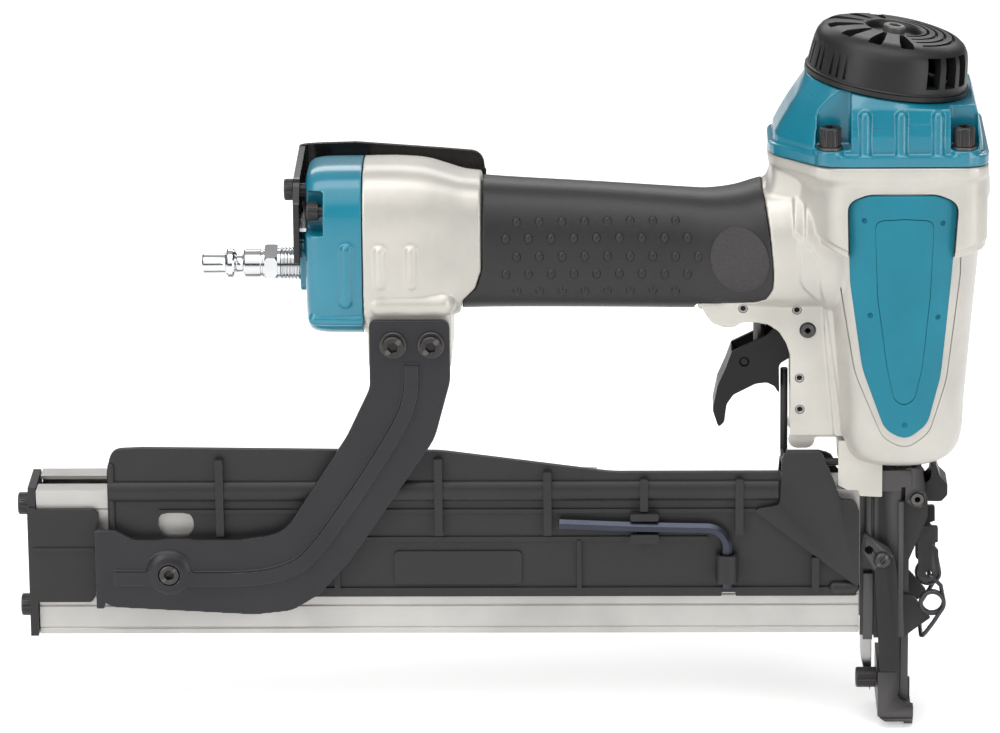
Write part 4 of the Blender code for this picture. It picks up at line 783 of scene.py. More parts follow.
def make_head():
    bolts = list(HEAD_BOLTS.values())
    head = loft([[(x, y, height) for x, y in polar(FLANGE)] for height in (HEAD_BASE, 242.6)])
    join(head, head_body(), cylinder(7.0, -6.0, 15.6, COVER_CENTRE, COVER_AXIS))
    cut(head, *[cutter for x, y in bolts for cutter in bolt_pocket(x, y)])
    ears = [turned([(6.4, HEAD_BASE + 0.5), (6.2, BOLT_SEAT - 0.2)], (x, y, 0), UP) for x, y in bolts]
    ribs = [capsule((x, side * 34.8, 243.0), (x, side * 33.6, 257.6), 2.5)
            for side in (NEAR, FAR) for x in (-19.6, -5.5, 8.8)]
    join(head, *ears, *ribs)
    cast(head, 0.48, 3)
    cuts = [cylinder(23.0, 230.0, 256.8, (DRIVE_X, 0, 0), UP),
            box((-70.0, -50.0, 200.0), (40.0, 50.0, HEAD_BASE))]
    cuts += [cylinder(2.9, 225.0, 262.0, (x, y, 0), UP) for x, y in bolts]
    cuts += [head_seam(side, start, end) for side in (NEAR, FAR)
             for start, end in ((-24.6, -22.4), (-16.8, -8.2), (-2.8, 6.2), (11.6, 13.4))]
    cut(head, *cuts)
    place(creases(head, CAST_CRISP), "head_casting", "teal", "frame", "teal_paint", "cylinder_head")


WINDOW_ANGLES = (-58.0, -41.0, -24.0)
WEDGE_ANGLES = [106.0 + 29.0 * step for step in range(7)]
GROOVE_ANGLES = [144.0, 150.5, 157.0, 168.0, 174.5, 186.0, 192.5, 204.0, 210.5, 222.0, 228.5, 235.0]
ARC_GROOVES = [
    # Radius, angle lost at each end, drop of the floor
    (13.4, 0.0, 0.0), (16.8, 3.0, 0.2), (20.2, 5.0, 0.6), (23.6, 8.0, 1.1),
]


def fan(angles, outline, low, high):
    """Prism cutters turned to angles about the cover's axis."""
    pieces = []
    for angle in angles:
        piece = prism(outline, "Z", low, high)
        piece.data.transform(Matrix.Rotation(math.radians(angle), 4, "Z"))
        pieces.append(piece)
    return pieces


def arc_groove(radius, trim, drop):
    """Cutter for one curved groove in the cover's top."""
    start, end, half, count = -72.0 + trim, 70.0 - trim, 0.625, 24
    angles = [math.radians(start + (end - start) * k / count) for k in range(count + 1)]
    outline = [((radius + half) * math.cos(a), (radius + half) * math.sin(a)) for a in angles]
    outline += [((radius - half) * math.cos(a), (radius - half) * math.sin(a)) for a in reversed(angles)]
    return prism(outline, "Z", 20.1 - drop, 30.0)


def make_exhaust_cover():
    profile = [
        (32.5, 0.4), (32.5, 2.7), (32.3, 3.0), (31.75, 3.25), (31.7, 3.6), (31.2, 9.0), (30.6, 13.6),
        (29.9, 16.2), (28.6, 18.3), (26.4, 19.9), (23.6, 20.8), (17.0, 21.5), (12.2, 21.8), (11.3, 21.5),
        (10.7, 20.6), (10.4, 18.9), (3.2, 18.8), (3.2, 16.2), (22.5, 16.2), (26.4, 13.6), (28.6, 0.4),
    ]
    cover = turned(profile, (0, 0, 0), UP, segments=144, hollow=True)
    wedge = rounded(mirrored([(12.6, -0.8, 0.6), (22.0, -2.6, 1.6), (26.6, -2.9, 1.0)]), 5)
    cut(cover, merged(fan(WINDOW_ANGLES, rect(20.0, -3.1, 40.0, 3.1), 5.2, 17.2)
                      + fan(WEDGE_ANGLES, wedge, 14.0, 30.0)
                      + fan(GROOVE_ANGLES, rect(30.5, -0.75, 36.0, 0.75), 3.9, 15.4)))
    cut(cover, merged([arc_groove(*groove) for groove in ARC_GROOVES]))
    cut(cover, turned([(31.9, 2.15), (34.0, 2.15), (34.0, 2.6), (31.9, 2.6)], (0, 0, 0), UP, 144, True))
    cover.data.transform(Matrix.Scale(MM, 4) @ COVER_FRAME @ Matrix.Scale(1 / MM, 4))
    soft_edges(creases(cover, 30.0), 0.22, 2, angle=38.0)
    place(cover, "exhaust_cap", "cap", "exhaust_cover", "black_plastic", "exhaust_cover")


# ================================================================ rear end
INLET_Z = 190.0


def make_rear_cap():
    cap = handle(0.0, smooth_stations([
        (-239.2, 198.0, 29.0, 18.5), (-238.4, 198.0, 31.4, 21.0), (-236.4, 198.0, 33.0, 22.8),
        (-232.0, 198.0, 33.8, 23.8), (-224.0, 198.0, 34.0, 24.0), (-216.9, 198.0, 34.0, 24.0),
    ]), 3.6)
    inlet = prism(rect(-9.6, 180.5, 9.6, 201.5, 5, 8), "X", -242.0, -230.0)
    bars = [capsule((-223.6, side * 22.2, 181.0), (-222.8, side * 22.2, 202.0), 3.3)
            for side in (NEAR, FAR)]
    ridges = [capsule((-236.0, side * 19.5, 172.6), (-218.0, side * 20.6, 172.6), 2.6)
              for side in (NEAR, FAR)]
    join(cap, inlet, *bars, *ridges)
    cut(cap, *[prism(rect(low, 207.4, high, 224.8, 3, 8), "X", -250.0, -232.0)
               for low, high in ((-34.0, -10.8), (10.8, 34.0))])
    cast(cap, 0.45, 3)
    cut(cap, cylinder(6.9, -20.0, 12.0, (-236.0, 0, INLET_Z), BACK),
        box((-216.8, -40.0, 140.0), (-200.0, 40.0, 250.0)))
    place(creases(cap, CAST_CRISP), "rear_cap_casting", "teal", "frame", "teal_paint", "rear_cap")


def make_air_plug():
    bore, crest, depth, pitch = 2.7, 6.5, 0.55, 1.35
    profile = [(bore, 0.0), (6.1, 0.0)]
    for i in range(7):
        start = 1.6 + pitch * i
        profile += [(crest, start + 0.15 * pitch), (crest, start + 0.35 * pitch),
                    (crest - depth, start + 0.7 * pitch), (crest - depth, start + 0.8 * pitch)]
    profile += [(6.0, 11.6), (6.0, 12.0), (bore, 12.0)]
    thread = turned(profile, (-239.5, 0, INLET_Z), BACK, 64, True)
    place(thread, "plug_thread", "chrome", "frame", "chrome")
    angles = [math.radians(60 * k + 30) for k in range(6)]
    nut = prism([(7.9 * math.cos(a), INLET_Z + 7.9 * math.sin(a)) for a in angles], "X", -256.4, -251.3)
    keep(nut, turned([(7.2, -0.1), (7.95, 1.0), (7.95, 4.2), (7.2, 5.2)], (-251.3, 0, INLET_Z), BACK, 64))
    cut(nut, cylinder(bore, -10.0, 10.0, (-253.0, 0, INLET_Z), BACK))
    place(soft_edges(nut, 0.25, 2), "plug_hex", "chrome", "frame", "chrome")
    body = turned([
        (bore, 0.0), (5.7, 0.0), (5.7, 0.8), (5.35, 1.0), (5.35, 1.5), (5.7, 1.8), (5.7, 7.8), (5.3, 8.4),
        (3.9, 8.9), (3.6, 9.6), (3.6, 10.6), (3.9, 11.2), (5.6, 12.2), (5.95, 12.8), (5.95, 14.6),
        (5.6, 15.2), (4.3, 15.8), (4.0, 16.6), (4.0, 24.4), (3.6, 25.0), (2.9, 25.0), (bore, 24.6),
    ], (-256.4, 0, INLET_Z), BACK, 64, True)
    place(creases(body, TURNED_CRISP), "plug_body", "chrome", "frame", "chrome", "air_plug")


# ================================================================ fasteners
STRAP_BOLTS = {"rear": -205.0, "front": -190.0}
STRAP_BOLT_Z = 163.0
END_BOLTS = {"upper": 90.0, "lower": 47.0}
# X and Z of pins that lie across the tool, then Y and Z of screws that lie along it
STRAP_PIN, ARM_PIN = (-296.0, 68.0), (-10.9, 71.6)
FOOT_SCREW, HOOK_BOLT = (-10.8, 19.0), (-6.0, 222.0)


def cap_screw(seat, axis, radius, height, socket, shank):
    """Socket head screw: rounded rim, straight knurl, hexagon recess and a shank (radius, length)."""
    profile = [(shank[0] - 0.3, -shank[1]), (shank[0], 0.3 - shank[1]), (shank[0], 0.0), (radius - 0.2, 0.0),
               (radius, 0.2), (radius, height - 0.6), (radius - 0.12, height - 0.3), (radius - 0.5, height),
               (socket * 1.4, height), (0.02, height - 0.02)]
    head = turned(profile, seat, axis, segments=72)
    turn = turn_to(axis)

    def on_head(reach, angle, rise):
        return Vector(seat) + turn @ Vector((reach * math.cos(angle), reach * math.sin(angle), rise))

    recess_foot = height - min(height * 0.6, 3.2)
    corner = socket * 1.155
    recess = loft([[on_head(corner, math.radians(60 * k + 15), rise) for k in range(6)]
                   for rise in (recess_foot, height + 1.0)])
    recess.data.materials[0] = MATS["socket"]
    cut(head, recess)
    knurl = [on_head(radius + 0.1, 2 * math.pi * k / 30, 0.5) for k in range(30)]
    cut(head, merged([cylinder(0.26, 0.0, height - 1.3, foot, axis, 6) for foot in knurl]))
    return creases(head, TURNED_CRISP)


def washer(name, seat, axis, outer, thick):
    profile = [(2.8, 0.0), (outer, 0.0), (outer, thick - 0.2), (outer - 0.2, thick), (2.8, thick)]
    place(turned(profile, seat, axis, 48, True), name, "fastener", "frame", "fastener_steel")


def make_screws():
    screws = []
    for label, (x, y) in HEAD_BOLTS.items():
        screws.append((f"head_bolt_{label}", (x, y, BOLT_SEAT + 1.0), UP, 4.2, 7.5, 2.1, (2.5, 13.0)))
        washer(f"head_washer_{label}", (x, y, BOLT_SEAT), UP, 5.0, 0.9)
    for label, x in STRAP_BOLTS.items():
        screws.append((f"strap_bolt_{label}", (x, -25.2, STRAP_BOLT_Z), NEARWARD, 4.4, 2.8, 2.0, (2.5, 9.6)))
        washer(f"strap_washer_{label}", (x, -24.1, STRAP_BOLT_Z), NEARWARD, 5.4, 1.0)
    for side, label in SIDES:
        seat = (-233.9, side * 16.5, 216.0)
        screws.append((f"rear_cap_bolt_{label}", seat, BACK, 3.8, 4.8, 2.0, (2.5, 26.0)))
    screws.append(("hook_bolt", (-244.3, *HOOK_BOLT), BACK, 4.3, 3.6, 2.1, (2.5, 11.0)))
    for label, z in END_BOLTS.items():
        screws.append((f"end_bolt_{label}", (-353.2, 0.0, z), BACK, 4.5, 4.9, 2.2, (2.0, 2.8)))
    screws.append(("foot_screw", (-12.6, *FOOT_SCREW), BACK, 4.1, 8.4, 2.1, (2.0, 1.8)))
    for node, *sizes in screws:
        body = "contact" if node == "foot_screw" else "frame"
        place(cap_screw(*sizes), f"{node}_detail", "fastener", body, "fastener_steel", node)
    screw = cap_screw(COVER_CENTRE + COVER_AXIS * 19.4, COVER_AXIS, 4.4, 3.2, 2.2, (2.6, 12.0))
    place(screw, "exhaust_cover_screw", "zinc", "frame", "fastener_steel", "exhaust_cover_bolt")


def make_pins():
    """The contact arm's rivet and the strap's hollow pin."""
    rivet = turned([(1.5, -1.7), (1.5, 0.0), (3.5, 0.0), (3.45, 0.5), (3.0, 1.3), (1.9, 1.9), (1.1, 2.0),
                    (0.9, 1.5), (0.02, 1.45)], (ARM_PIN[0], -19.8, ARM_PIN[1]), NEARWARD, 64)
    place(rivet, "contact_rivet", "fastener", "contact", "fastener_steel", "contact_screw")
    pin = turned([(2.0, -9.9), (2.0, -7.2), (6.0, -7.2), (6.0, -4.4), (4.0, -4.3), (4.0, 0.4), (3.85, 0.9),
                  (3.3, 1.2), (2.3, 1.2), (1.9, 0.9), (1.8, -1.6), (0.02, -1.7)],
                 (STRAP_PIN[0], -25.7, STRAP_PIN[1]), NEARWARD, 72)
    place(creases(pin, TURNED_CRISP), "strap_hollow_pin", "fastener", "frame", "fastener_steel", "strap_pin")


# ================================================================ strap, hook and key
STRAP_IN, STRAP_OUT = 21.6, 24.0
STRAP_OUTLINE = rounded([
    # Upper edge, from the handle down to the magazine, then back along the lower edge
    (-214.5, 173.0, 3), (-214.5, 145.0, 12), (-224.0, 125.0, 30), (-250.0, 84.5, 16), (-268.0, 82.0, 12),
    (-310.0, 82.0, 8), (-317.0, 86.0, 3), (-324.0, 86.0, 1), (-324.0, 54.0, 8), (-262.0, 50.5, 18),
    (-247.0, 52.2, 14), (-236.0, 59.0, 14), (-224.0, 72.5, 14), (-216.0, 84.0, 20), (-189.0, 124.0, 24),
    (-182.5, 148.0, 20), (-182.5, 173.0, 4),
], 10)
STRAP_RIB = smooth_stations([
    # Middle line of the embossed rib, from its top end to the rear flange
    (-197.8, 155.0), (-198.1, 145.0), (-200.3, 135.6), (-206.0, 124.6), (-216.0, 108.2), (-226.6, 92.4),
    (-235.4, 80.2), (-243.6, 71.8), (-254.0, 67.6), (-266.0, 66.0), (-287.0, 65.8), (-318.0, 66.2),
], 6)
RIB_HALF = 2.9
# X and Z along the hex key: its long arm, the centre of its bend and its short arm
KEY_LONG = [(-140.0, 87.4), (-124.0, 86.75), (-108.0, 86.05), (-94.0, 85.75)]
KEY_BEND, KEY_BEND_RADIUS = (-81.0, 77.5), 8.0
KEY_SHORT = [(-73.0, 70.0), (-73.0, 60.5)]
KEY_OUT = 20.5


def make_strap():
    strap = side_prism(STRAP_OUTLINE, NEAR, STRAP_IN, STRAP_OUT)
    middle = [Vector(point) for point in STRAP_RIB]
    band = []
    for turn in (1, -1):
        edge = []
        for before, here, after in zip(middle[:1] + middle, middle, middle[1:] + middle[-1:]):
            along = (after - before).normalized()
            edge.append(here + Vector((-along.y, along.x)) * RIB_HALF * turn)
        band += edge[::turn]
    pin_axis = (STRAP_PIN[0], 0, STRAP_PIN[1])
    dome = turned([(9.6, 21.7), (9.6, 24.2), (8.8, 25.0), (7.2, 26.0), (5.4, 26.5), (0.02, 26.5)], pin_axis,
                  NEARWARD)
    join(strap, side_prism([tuple(point) for point in band], NEAR, 22.0, 25.7), dome,
         side_prism(rect(-325.6, 53.0, -322.4, 86.0), NEAR, 18.3, STRAP_OUT - 0.3),
         capsule((-323.8, NEAR * 22.3, 55.2), (-323.8, NEAR * 22.3, 84.8), 1.7))
    cut(strap, box((-322.4, -STRAP_IN, 40.0), (-170.0, -10.0, 190.0)))
    cast(strap, 0.42, 1)
    cut(strap, *[cylinder(2.9, 18.0, 30.0, (x, 0, STRAP_BOLT_Z), NEARWARD) for x in STRAP_BOLTS.values()],
        cylinder(4.4, 18.0, 30.0, pin_axis, NEARWARD))
    place(creases(strap, CAST_CRISP), "strap_pressing", "strap", "frame", "black_steel", "strap_bracket")


def make_hook():
    plan = rounded([(-244.0, -18.0, 0.5), (-241.5, -18.0, 0.5), (-241.5, 34.5, 1.2), (-169.0, 34.5, 0.6),
                    (-169.0, 37.0, 0.6), (-244.0, 37.0, 3.6)])
    hook = prism(plan, "Z", 195.0, 231.0)
    below = rounded([(-238.0, 190.0, 0), (-160.0, 190.0, 0), (-160.0, 206.0, 0), (-230.0, 206.0, 8),
                     (-238.0, 201.0, 4)])
    above = rounded([(-246.0, 229.5, 0), (-236.0, 230.2, 10), (-221.0, 230.6, 20), (-187.0, 228.0, 20),
                     (-173.0, 226.8, 6), (-170.0, 224.0, 5), (-169.4, 219.0, 1), (-160.0, 219.0, 0),
                     (-160.0, 240.0, 0), (-246.0, 240.0, 0)])
    corner = rounded([(-26.0, 218.0, 0), (-18.5, 218.0, 4), (-12.0, 227.5, 6), (34.0, 229.5, 0),
                      (34.0, 240.0, 0), (-26.0, 240.0, 0)])
    cut(hook, prism(below, "Y", 25.0, 50.0), prism(above, "Y", 25.0, 50.0),
        prism(corner, "X", -250.0, -238.0),
        cylinder(2.9, -10.0, 5.0, (-244.0, *HOOK_BOLT), BACK),
        cylinder(9.8, -10.0, 5.0, (-244.0, 0.0, INLET_Z), BACK))
    place(soft_edges(hook, 0.55, 4), "hook_strip", "hook", "frame", "black_steel", "hanging_hook")


def make_hex_key():
    path = list(KEY_LONG)
    for k in range(15):
        angle = math.radians(89.0 - 89.0 * k / 14)
        path.append((KEY_BEND[0] + KEY_BEND_RADIUS * math.cos(angle),
                     KEY_BEND[1] + KEY_BEND_RADIUS * math.sin(angle)))
    path += KEY_SHORT
    key = swept([(x, NEAR * KEY_OUT, z) for x, z in path], 2.3, sides=6, phase=0.0)
    soft_edges(creases(key, 40.0), 0.18, 2, angle=45.0)
    place(key, "hex_key_bar", "blued", "frame", "tool_steel", "hex_key")


# ================================================================ magazine
PLATE_IN, COVER_FACE = 15.3, 17.9
NEAR_RIBS = [
    # X, half width, lowest height, highest height, outer face
    (-275.5, 1.6, 82.5, 114.5, 21.1), (-188.0, 1.6, 82.5, 114.5, 21.1), (-144.5, 1.6, 82.5, 109.0, 21.1),
    (-106.0, 1.6, 92.5, 105.8, 21.1), (-68.0, 1.6, 82.5, 105.8, 21.1), (-229.0, 1.2, 59.0, 80.5, 19.4),
    (-37.6, 1.5, 58.5, 73.0, 21.1), (-132.0, 0.9, 59.0, 80.0, 19.4),
]
NEAR_BLOCKS = [
    # Raised panels, ledges and key clips: lowest X and Z, highest X and Z, corner radius, outer face
    (-314.0, 56.6, -22.0, 60.0, 0.6, 19.0), (-314.0, 79.4, -80.5, 81.4, 0.5, 18.8),
    (-300.0, 91.4, -26.0, 93.0, 0.4, 18.9), (-206.0, 61.6, -155.0, 75.4, 2.0, 18.9),
    (-111.5, 88.9, -100.2, 91.9, 0.8, 22.4), (-111.5, 79.5, -100.2, 83.2, 0.8, 22.4),
    (-111.5, 79.6, -108.9, 91.4, 0.6, 20.0),
]


def make_near_cover():
    wall = rounded([(-320.5, 56.0, 2), (-320.5, 109.0, 5), (-318.5, 118.0, 7), (-306.0, 118.5, 8),
                    (-187.0, 117.0, 60), (-119.0, 108.0, 60), (-51.5, 108.0, 0.5), (-51.5, 99.0, 0.5),
                    (-24.0, 92.0, 2), (-21.0, 91.0, 1), (-21.0, 56.0, 1)], 10)
    cover = side_prism(wall, NEAR, PLATE_IN, COVER_FACE)
    tube = prism(oval(-COVER_FACE - 0.1, 100.6, 2.5, 4.2, count=40), "X", -320.0, -52.5)
    rim = capsule((-318.8, -COVER_FACE, 84.0), (-318.8, -COVER_FACE, 111.0), 1.4)
    boss = capsule((-29.8, -COVER_FACE, 59.8), (-22.5, -COVER_FACE, 59.8), 2.6)
    ferrule = turned([(3.0, 63.0), (4.3, 63.0), (4.5, 63.4), (4.5, 74.2), (4.3, 74.6), (3.0, 74.6)],
                     (KEY_SHORT[0][0], NEAR * KEY_OUT, 0.0), UP, 40, True)
    blocks = [side_prism(rect(*sizes), NEAR, COVER_FACE - 0.8, face) for *sizes, face in NEAR_BLOCKS]
    blocks += [side_prism(rect(x - half, low, x + half, high, 0.5), NEAR, COVER_FACE - 0.8, face)
               for x, half, low, high, face in NEAR_RIBS]
    join(cover, tube, rim, boss, ferrule, *blocks)
    cut(cover, side_prism(rect(-300.6, 81.6, -286.2, 91.8, 5.1, 8), NEAR, 10.0, 30.0),
        side_prism(rect(-75.2, 54.0, -69.4, 58.0, 0.8), NEAR, 10.0, 30.0),
        box((-330.0, -PLATE_IN, 50.0), (-10.0, 0.0, 125.0)),
        cylinder(6.6, 8.0, 30.0, (STRAP_PIN[0], 0, STRAP_PIN[1]), NEARWARD))
    place(soft_edges(cover, 0.35), "cover_shell", "plastic", "frame", "black_plastic", "magazine_cover_near")


def make_end_cap():
    cap = box((-353.0, -17.6, 39.5), (-349.8, 17.6, 100.5))
    wing = rounded([(-352.0, 53.8, 0.5), (-328.0, 53.8, 2), (-326.6, 56.0, 2), (-324.4, 90.8, 2),
                    (-326.4, 92.8, 2), (-352.0, 92.8, 0.5)])
    for side in (NEAR, FAR):
        join(cap, side_prism(wing, side, PLATE_IN, 17.6),
             side_prism(rect(-351.0, 75.2, -326.4, 76.9, 0.6), side, 17.0, 18.3))
        corner = [(side * 15.4, 93.5), (side * 20.0, 93.5), (side * 20.0, 104.0), (side * 11.0, 104.0)]
        cut(cap, prism(corner, "X", -360.0, -346.0))
    cut(cap, *[cylinder(2.4, -5.0, 8.0, (-353.0, 0, z), BACK) for z in END_BOLTS.values()])
    place(soft_edges(cap, 0.4), "end_plate", "plastic", "frame", "black_plastic", "magazine_end_cap")


# ================================================================ nose
WIRE_PLANE = 17.6
COIL, COIL_RADIUS, COIL_TURNS, COIL_STEPS = (9.2, 53.6), 4.6, 2.17, 72
ROD_CORNERS = [(-50.0, 0.0, 146.0), (-50.0, 0.0, 111.6), (-50.0, -15.7, 111.6), (-16.5, -15.7, 111.6),
               (-16.5, -15.7, 79.0)]
ROD_BEND = 3.0


def wire_half(side):
    """Wire centre line on one side: pivot eye, leg, torsion coil and the leg to the catch."""
    points = [(8.0, side * 12.0, 64.0), (8.0, side * 15.0, 64.0), (8.0, side * 16.4, 64.0),
              (8.6, side * 17.2, 63.8), (9.6, side * WIRE_PLANE, 63.2), (12.6, side * WIRE_PLANE, 60.2)]
    for k in range(COIL_STEPS + 1):
        share = k / COIL_STEPS
        angle = math.radians(20.0) - 2 * math.pi * COIL_TURNS * share
        points.append((COIL[0] + COIL_RADIUS * math.cos(angle), side * (WIRE_PLANE + 3.0 * share),
                       COIL[1] + COIL_RADIUS * math.sin(angle)))
    return points + [(9.6, side * 20.2, 45.4), (6.6, side * 19.2, 40.8), (5.6, side * 18.0, 39.2),
                     (5.0, side * 16.4, 38.7)]


def make_wires():
    wire = swept(wire_half(NEAR) + wire_half(FAR)[::-1], 0.85, sides=14)
    place(wire, "latch_spring_wire", "spring", "latch_wire", "spring_steel", "latch_wire")
    corners = [Vector(point) for point in ROD_CORNERS]
    path = [corners[0]]
    for before, here, after in zip(corners, corners[1:], corners[2:]):
        path += bend(here + (before - here).normalized() * ROD_BEND, here,
                     here + (after - here).normalized() * ROD_BEND)
    path.append(corners[-1])
    place(swept(path, 1.5, sides=20), "safety_rod", "steel", "contact", "black_steel", "contact_rod")


def make_foot():
    foot = box((-12.3, -17.2, 0.0), (2.0, 17.2, 24.0))
    slant = rounded([(-4.8, 30.0, 0), (-4.3, 13.3, 2), (1.2, 9.4, 0.5), (10.0, 9.4, 0), (10.0, 30.0, 0)])
    heel = [(-20.0, -5.0), (-8.0, -5.0), (-8.0, 0.0), (-12.5, 5.0), (-20.0, 5.0)]
    join(foot, side_prism(rect(-12.3, 5.0, 2.0, 24.0), NEAR, 16.0, 19.3))
    cut(foot, box((-9.8, -14.9, -5.0), (-1.5, 14.9, 40.0)), box((-3.0, -14.9, 2.0), (20.0, 14.9, 40.0)),
        prism(slant, "Y", -30.0, 30.0), prism(heel, "Y", -30.0, 30.0),
        cylinder(2.3, -1.9, 5.0, (-12.3, *FOOT_SCREW), BACK))
    for side in (NEAR, FAR):
        bevel = [(13.5, 0.0), (13.5, -5.0), (25.0, -5.0), (25.0, 3.4), (17.3, 3.4)]
        cut(foot, prism([(side * y, z) for y, z in bevel], "X", -30.0, 30.0))
    place(soft_edges(foot, 0.35), "foot_shoe", "steel", "contact", "black_steel", "contact_foot")


def make_arm():
    outline = rounded([
        (-11.6, 24.3, 0.3), (-3.9, 24.3, 0.3), (-4.8, 65.4, 2.5), (-6.1, 73.1, 3), (-8.6, 76.9, 2),
        (-18.5, 83.0, 1), (-19.4, 76.2, 1), (-18.4, 68.4, 1.5), (-14.0, 67.6, 2),
    ])
    arm = side_prism(outline, NEAR, 17.5, 19.5)
    cut(arm, cylinder(1.9, 10.0, 30.0, (ARM_PIN[0], 0, ARM_PIN[1]), NEARWARD),
        cylinder(1.7, 10.0, 30.0, (-16.3, 0, 75.8), NEARWARD))
    place(soft_edges(arm, 0.3), "contact_plate", "steel", "contact", "black_steel", "contact_arm")


# ================================================================ trigger
def make_trigger():
    outline = rounded([
        (-71.0, 155.0, 1.5), (-57.5, 161.6, 4), (-46.0, 171.0, 5), (-36.5, 171.0, 5), (-36.0, 162.0, 5),
        (-46.5, 153.5, 4), (-52.2, 150.0, 3), (-52.0, 137.5, 1), (-54.0, 140.8, 1.5), (-57.0, 142.4, 4),
        (-61.5, 141.8, 6), (-70.3, 137.3, 4), (-73.0, 133.3, 4), (-73.9, 126.1, 1), (-76.2, 123.6, 1.2),
        (-78.6, 131.0, 5), (-76.6, 141.0, 6), (-73.5, 148.0, 3),
    ])
    inside = rounded([
        (-30.0, 180.0, 0), (-30.0, 140.0, 0), (-52.0, 141.6, 0), (-57.0, 144.8, 3), (-62.0, 144.4, 3),
        (-71.5, 140.4, 1), (-73.8, 142.2, 1), (-71.4, 147.5, 3), (-69.0, 152.0, 2), (-72.0, 156.0, 0),
        (-60.0, 180.0, 0),
    ])
    trigger = prism(outline, "Y", -8.2, 8.2)
    cut(trigger, prism(inside, "Y", -6.2, 6.2),
        cylinder(3.4, -20.0, 20.0, (TRIGGER_PIN[0], 0, TRIGGER_PIN[1]), ACROSS),
        cylinder(2.0, -20.0, 20.0, (-66.0, 0, 151.0), ACROSS))
    place(soft_edges(trigger, 0.5, 4), "trigger_channel", "trigger", "trigger", "trigger_black", "trigger")
    pin = turned([(0.9, -15.4), (1.2, -16.1), (2.6, -16.1), (2.95, -15.7), (2.95, 15.7), (2.6, 16.1),
                  (1.2, 16.1), (0.9, 15.4)], (TRIGGER_PIN[0], 0, TRIGGER_PIN[1]), ACROSS, 40, True)
    place(pin, "trigger_cross_pin", "fastener", "frame", "bright_steel", "trigger_pin")


# ================================================================ CAD nodes that keep their shape
REPAINTS = {
    # Node: finish and edge radius
    "magazine_body": ("rail", 0.25), "magazine_cover_far": ("plastic", 0.35), "staple_core": ("ground", 0.2),
    "front_bracket_near": ("steel", 0.35), "front_bracket_far": ("steel", 0.35), "pusher": ("ground", 0.3),
    "nose_block": ("steel", 0.3), "front_door": ("steel", 0.3), "latch_lever": ("steel", 0.3),
    "foot_bracket": ("ground", 0.3), "door_pin": ("fastener", 0.0), "lever_pin": ("socket", 0.0),
    "idler_lever": ("trigger", 0.2), "pusher_spring": ("spring", 0.0), "valve_body": ("brass", 0.0),
    "valve_stem": ("fastener", 0.0), "piston": ("rail", 0.0), "driver_blade": ("ground", 0.0),
    "bumper": ("grip", 0.0), "cylinder_sleeve": ("rail", 0.0), "head_valve": ("grip", 0.0),
}


# ================================================================ stage
def make_stage():
    mat, tree, shader = new_material("studio_floor")
    clouds = ramp(tree, noise(tree, object_coords(tree), 3.0), [(0.3, (0.90,) * 3), (0.7, (0.915,) * 3)])
    tree.links.new(clouds, shader.inputs["Base Color"])
    shader.inputs["Roughness"].default_value = 0.9
    shader.inputs["Emission Color"].default_value = (1.0, 1.0, 1.0, 1.0)
    shader.inputs["Emission Strength"].default_value = 0.3
    floor = prism(rect(-6000.0, -6000.0, 6000.0, 6000.0), "Z", -12.0, -0.4)
    floor.name = "studio_sweep"
    floor.data.materials[0] = mat


def add_lamp(name, light, location, aim):
    lamp = bpy.data.objects.new(name, light)
    lamp.matrix_world = (Matrix.Translation(Vector(location) * MM)
                         @ Vector(aim).to_track_quat("-Z", "Y").to_matrix().to_4x4())
    bpy.context.scene.collection.objects.link(lamp)


AREA_LIGHTS = {
    # Location, width, depth, energy
    "top": ((-150.0, -260.0, 1050.0), 1500.0, 520.0, 4.8),
    "left": ((-950.0, -800.0, 560.0), 520.0, 900.0, 4.6),
    "right": ((900.0, -850.0, 420.0), 420.0, 900.0, 4.6),
    "back": ((-100.0, 900.0, 800.0), 1400.0, 400.0, 5.0),
}


def make_lights():
    target = Vector((-170.0, 0.0, 130.0))
    for name, (location, width, depth, energy) in AREA_LIGHTS.items():
        light = bpy.data.lights.new(name, "AREA")
        light.shape = "RECTANGLE"
        light.size, light.size_y = width * MM, depth * MM
        light.energy = energy
        add_lamp(name, light, location, target - Vector(location))
    sun = bpy.data.lights.new("wide_sun", "SUN")
    sun.energy = 1.22
    sun.angle = math.radians(70.0)
    add_lamp("wide_sun", sun, (0.0, 0.0, 0.0), (0.2, 0.7, -0.85))


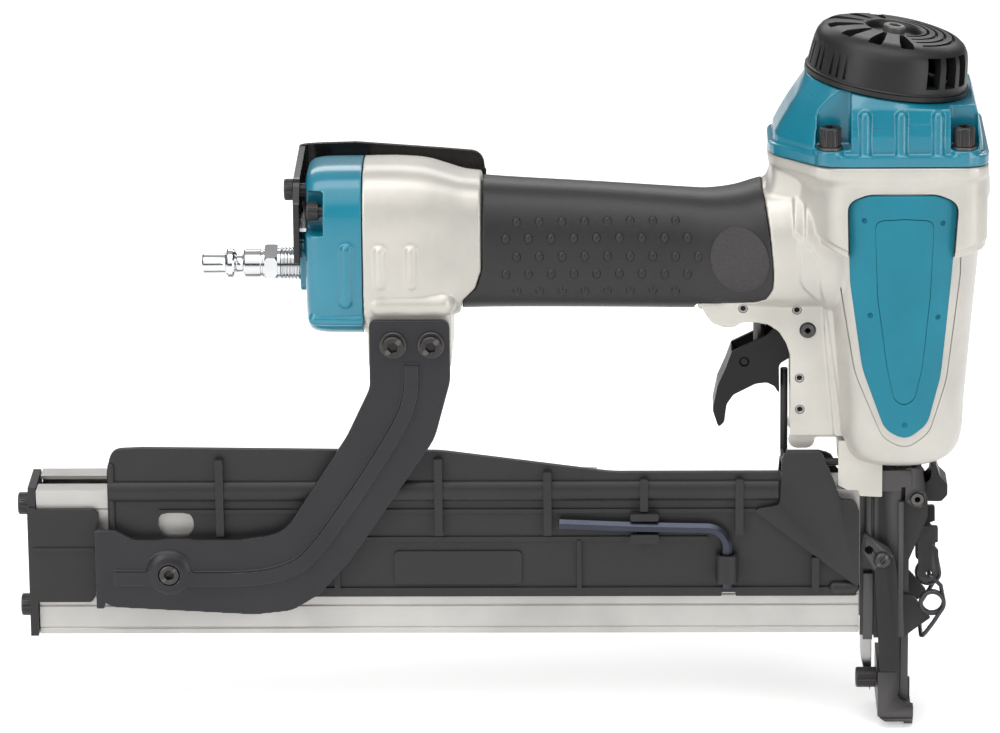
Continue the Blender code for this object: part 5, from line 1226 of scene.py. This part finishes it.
def make_world():
    """Grey surroundings, darker below, and plain colour output."""
    world = bpy.data.worlds.new("studio")
    world.use_nodes = True
    tree = world.node_tree
    split = tree.nodes.new("ShaderNodeSeparateXYZ")
    tree.links.new(tree.nodes.new("ShaderNodeTexCoord").outputs["Generated"], split.inputs["Vector"])
    sky = ramp(tree, split.outputs["Z"], [(0.0, (0.07,) * 3), (0.3, (0.11,) * 3), (0.8, (0.50,) * 3)])
    tree.links.new(sky, tree.nodes["Background"].inputs["Color"])
    bpy.context.scene.world = world
    bpy.context.scene.view_settings.view_transform = "Standard"
    bpy.context.scene.view_settings.look = "None"


CAMERA_AT = Vector((-103.25, -2297.4, 832.01))
CAMERA_PITCH, CAMERA_YAW, CAMERA_ROLL = (math.radians(value) for value in (16.6, 1.5, 0.6))


def make_camera():
    cam = bpy.data.cameras.new("camera")
    cam.lens = 216.0
    cam.sensor_width = 36.0
    level = Vector((math.cos(CAMERA_YAW), math.sin(CAMERA_YAW), 0.0))
    ahead = Vector((-math.sin(CAMERA_YAW) * math.cos(CAMERA_PITCH),
                    math.cos(CAMERA_YAW) * math.cos(CAMERA_PITCH), -math.sin(CAMERA_PITCH)))
    upright = level.cross(ahead)
    right = level * math.cos(CAMERA_ROLL) - upright * math.sin(CAMERA_ROLL)
    up = upright * math.cos(CAMERA_ROLL) + level * math.sin(CAMERA_ROLL)
    obj = bpy.data.objects.new("camera", cam)
    obj.matrix_world = Matrix.Translation(CAMERA_AT * MM) @ Matrix((right, up, -ahead)).transposed().to_4x4()
    bpy.context.scene.collection.objects.link(obj)
    bpy.context.scene.camera = obj


make_housing()
make_grip()
make_grip_patches()
for side, label in SIDES:
    make_pad(side, label)
make_head()
make_exhaust_cover()
make_rear_cap()
make_air_plug()
make_screws()
make_pins()
make_strap()
make_hook()
make_hex_key()
make_near_cover()
make_end_cap()
make_wires()
make_foot()
make_arm()
make_trigger()
for node, (mat, edge) in REPAINTS.items():
    repaint(node, mat, edge)
make_stage()
make_lights()
make_world()
make_camera()
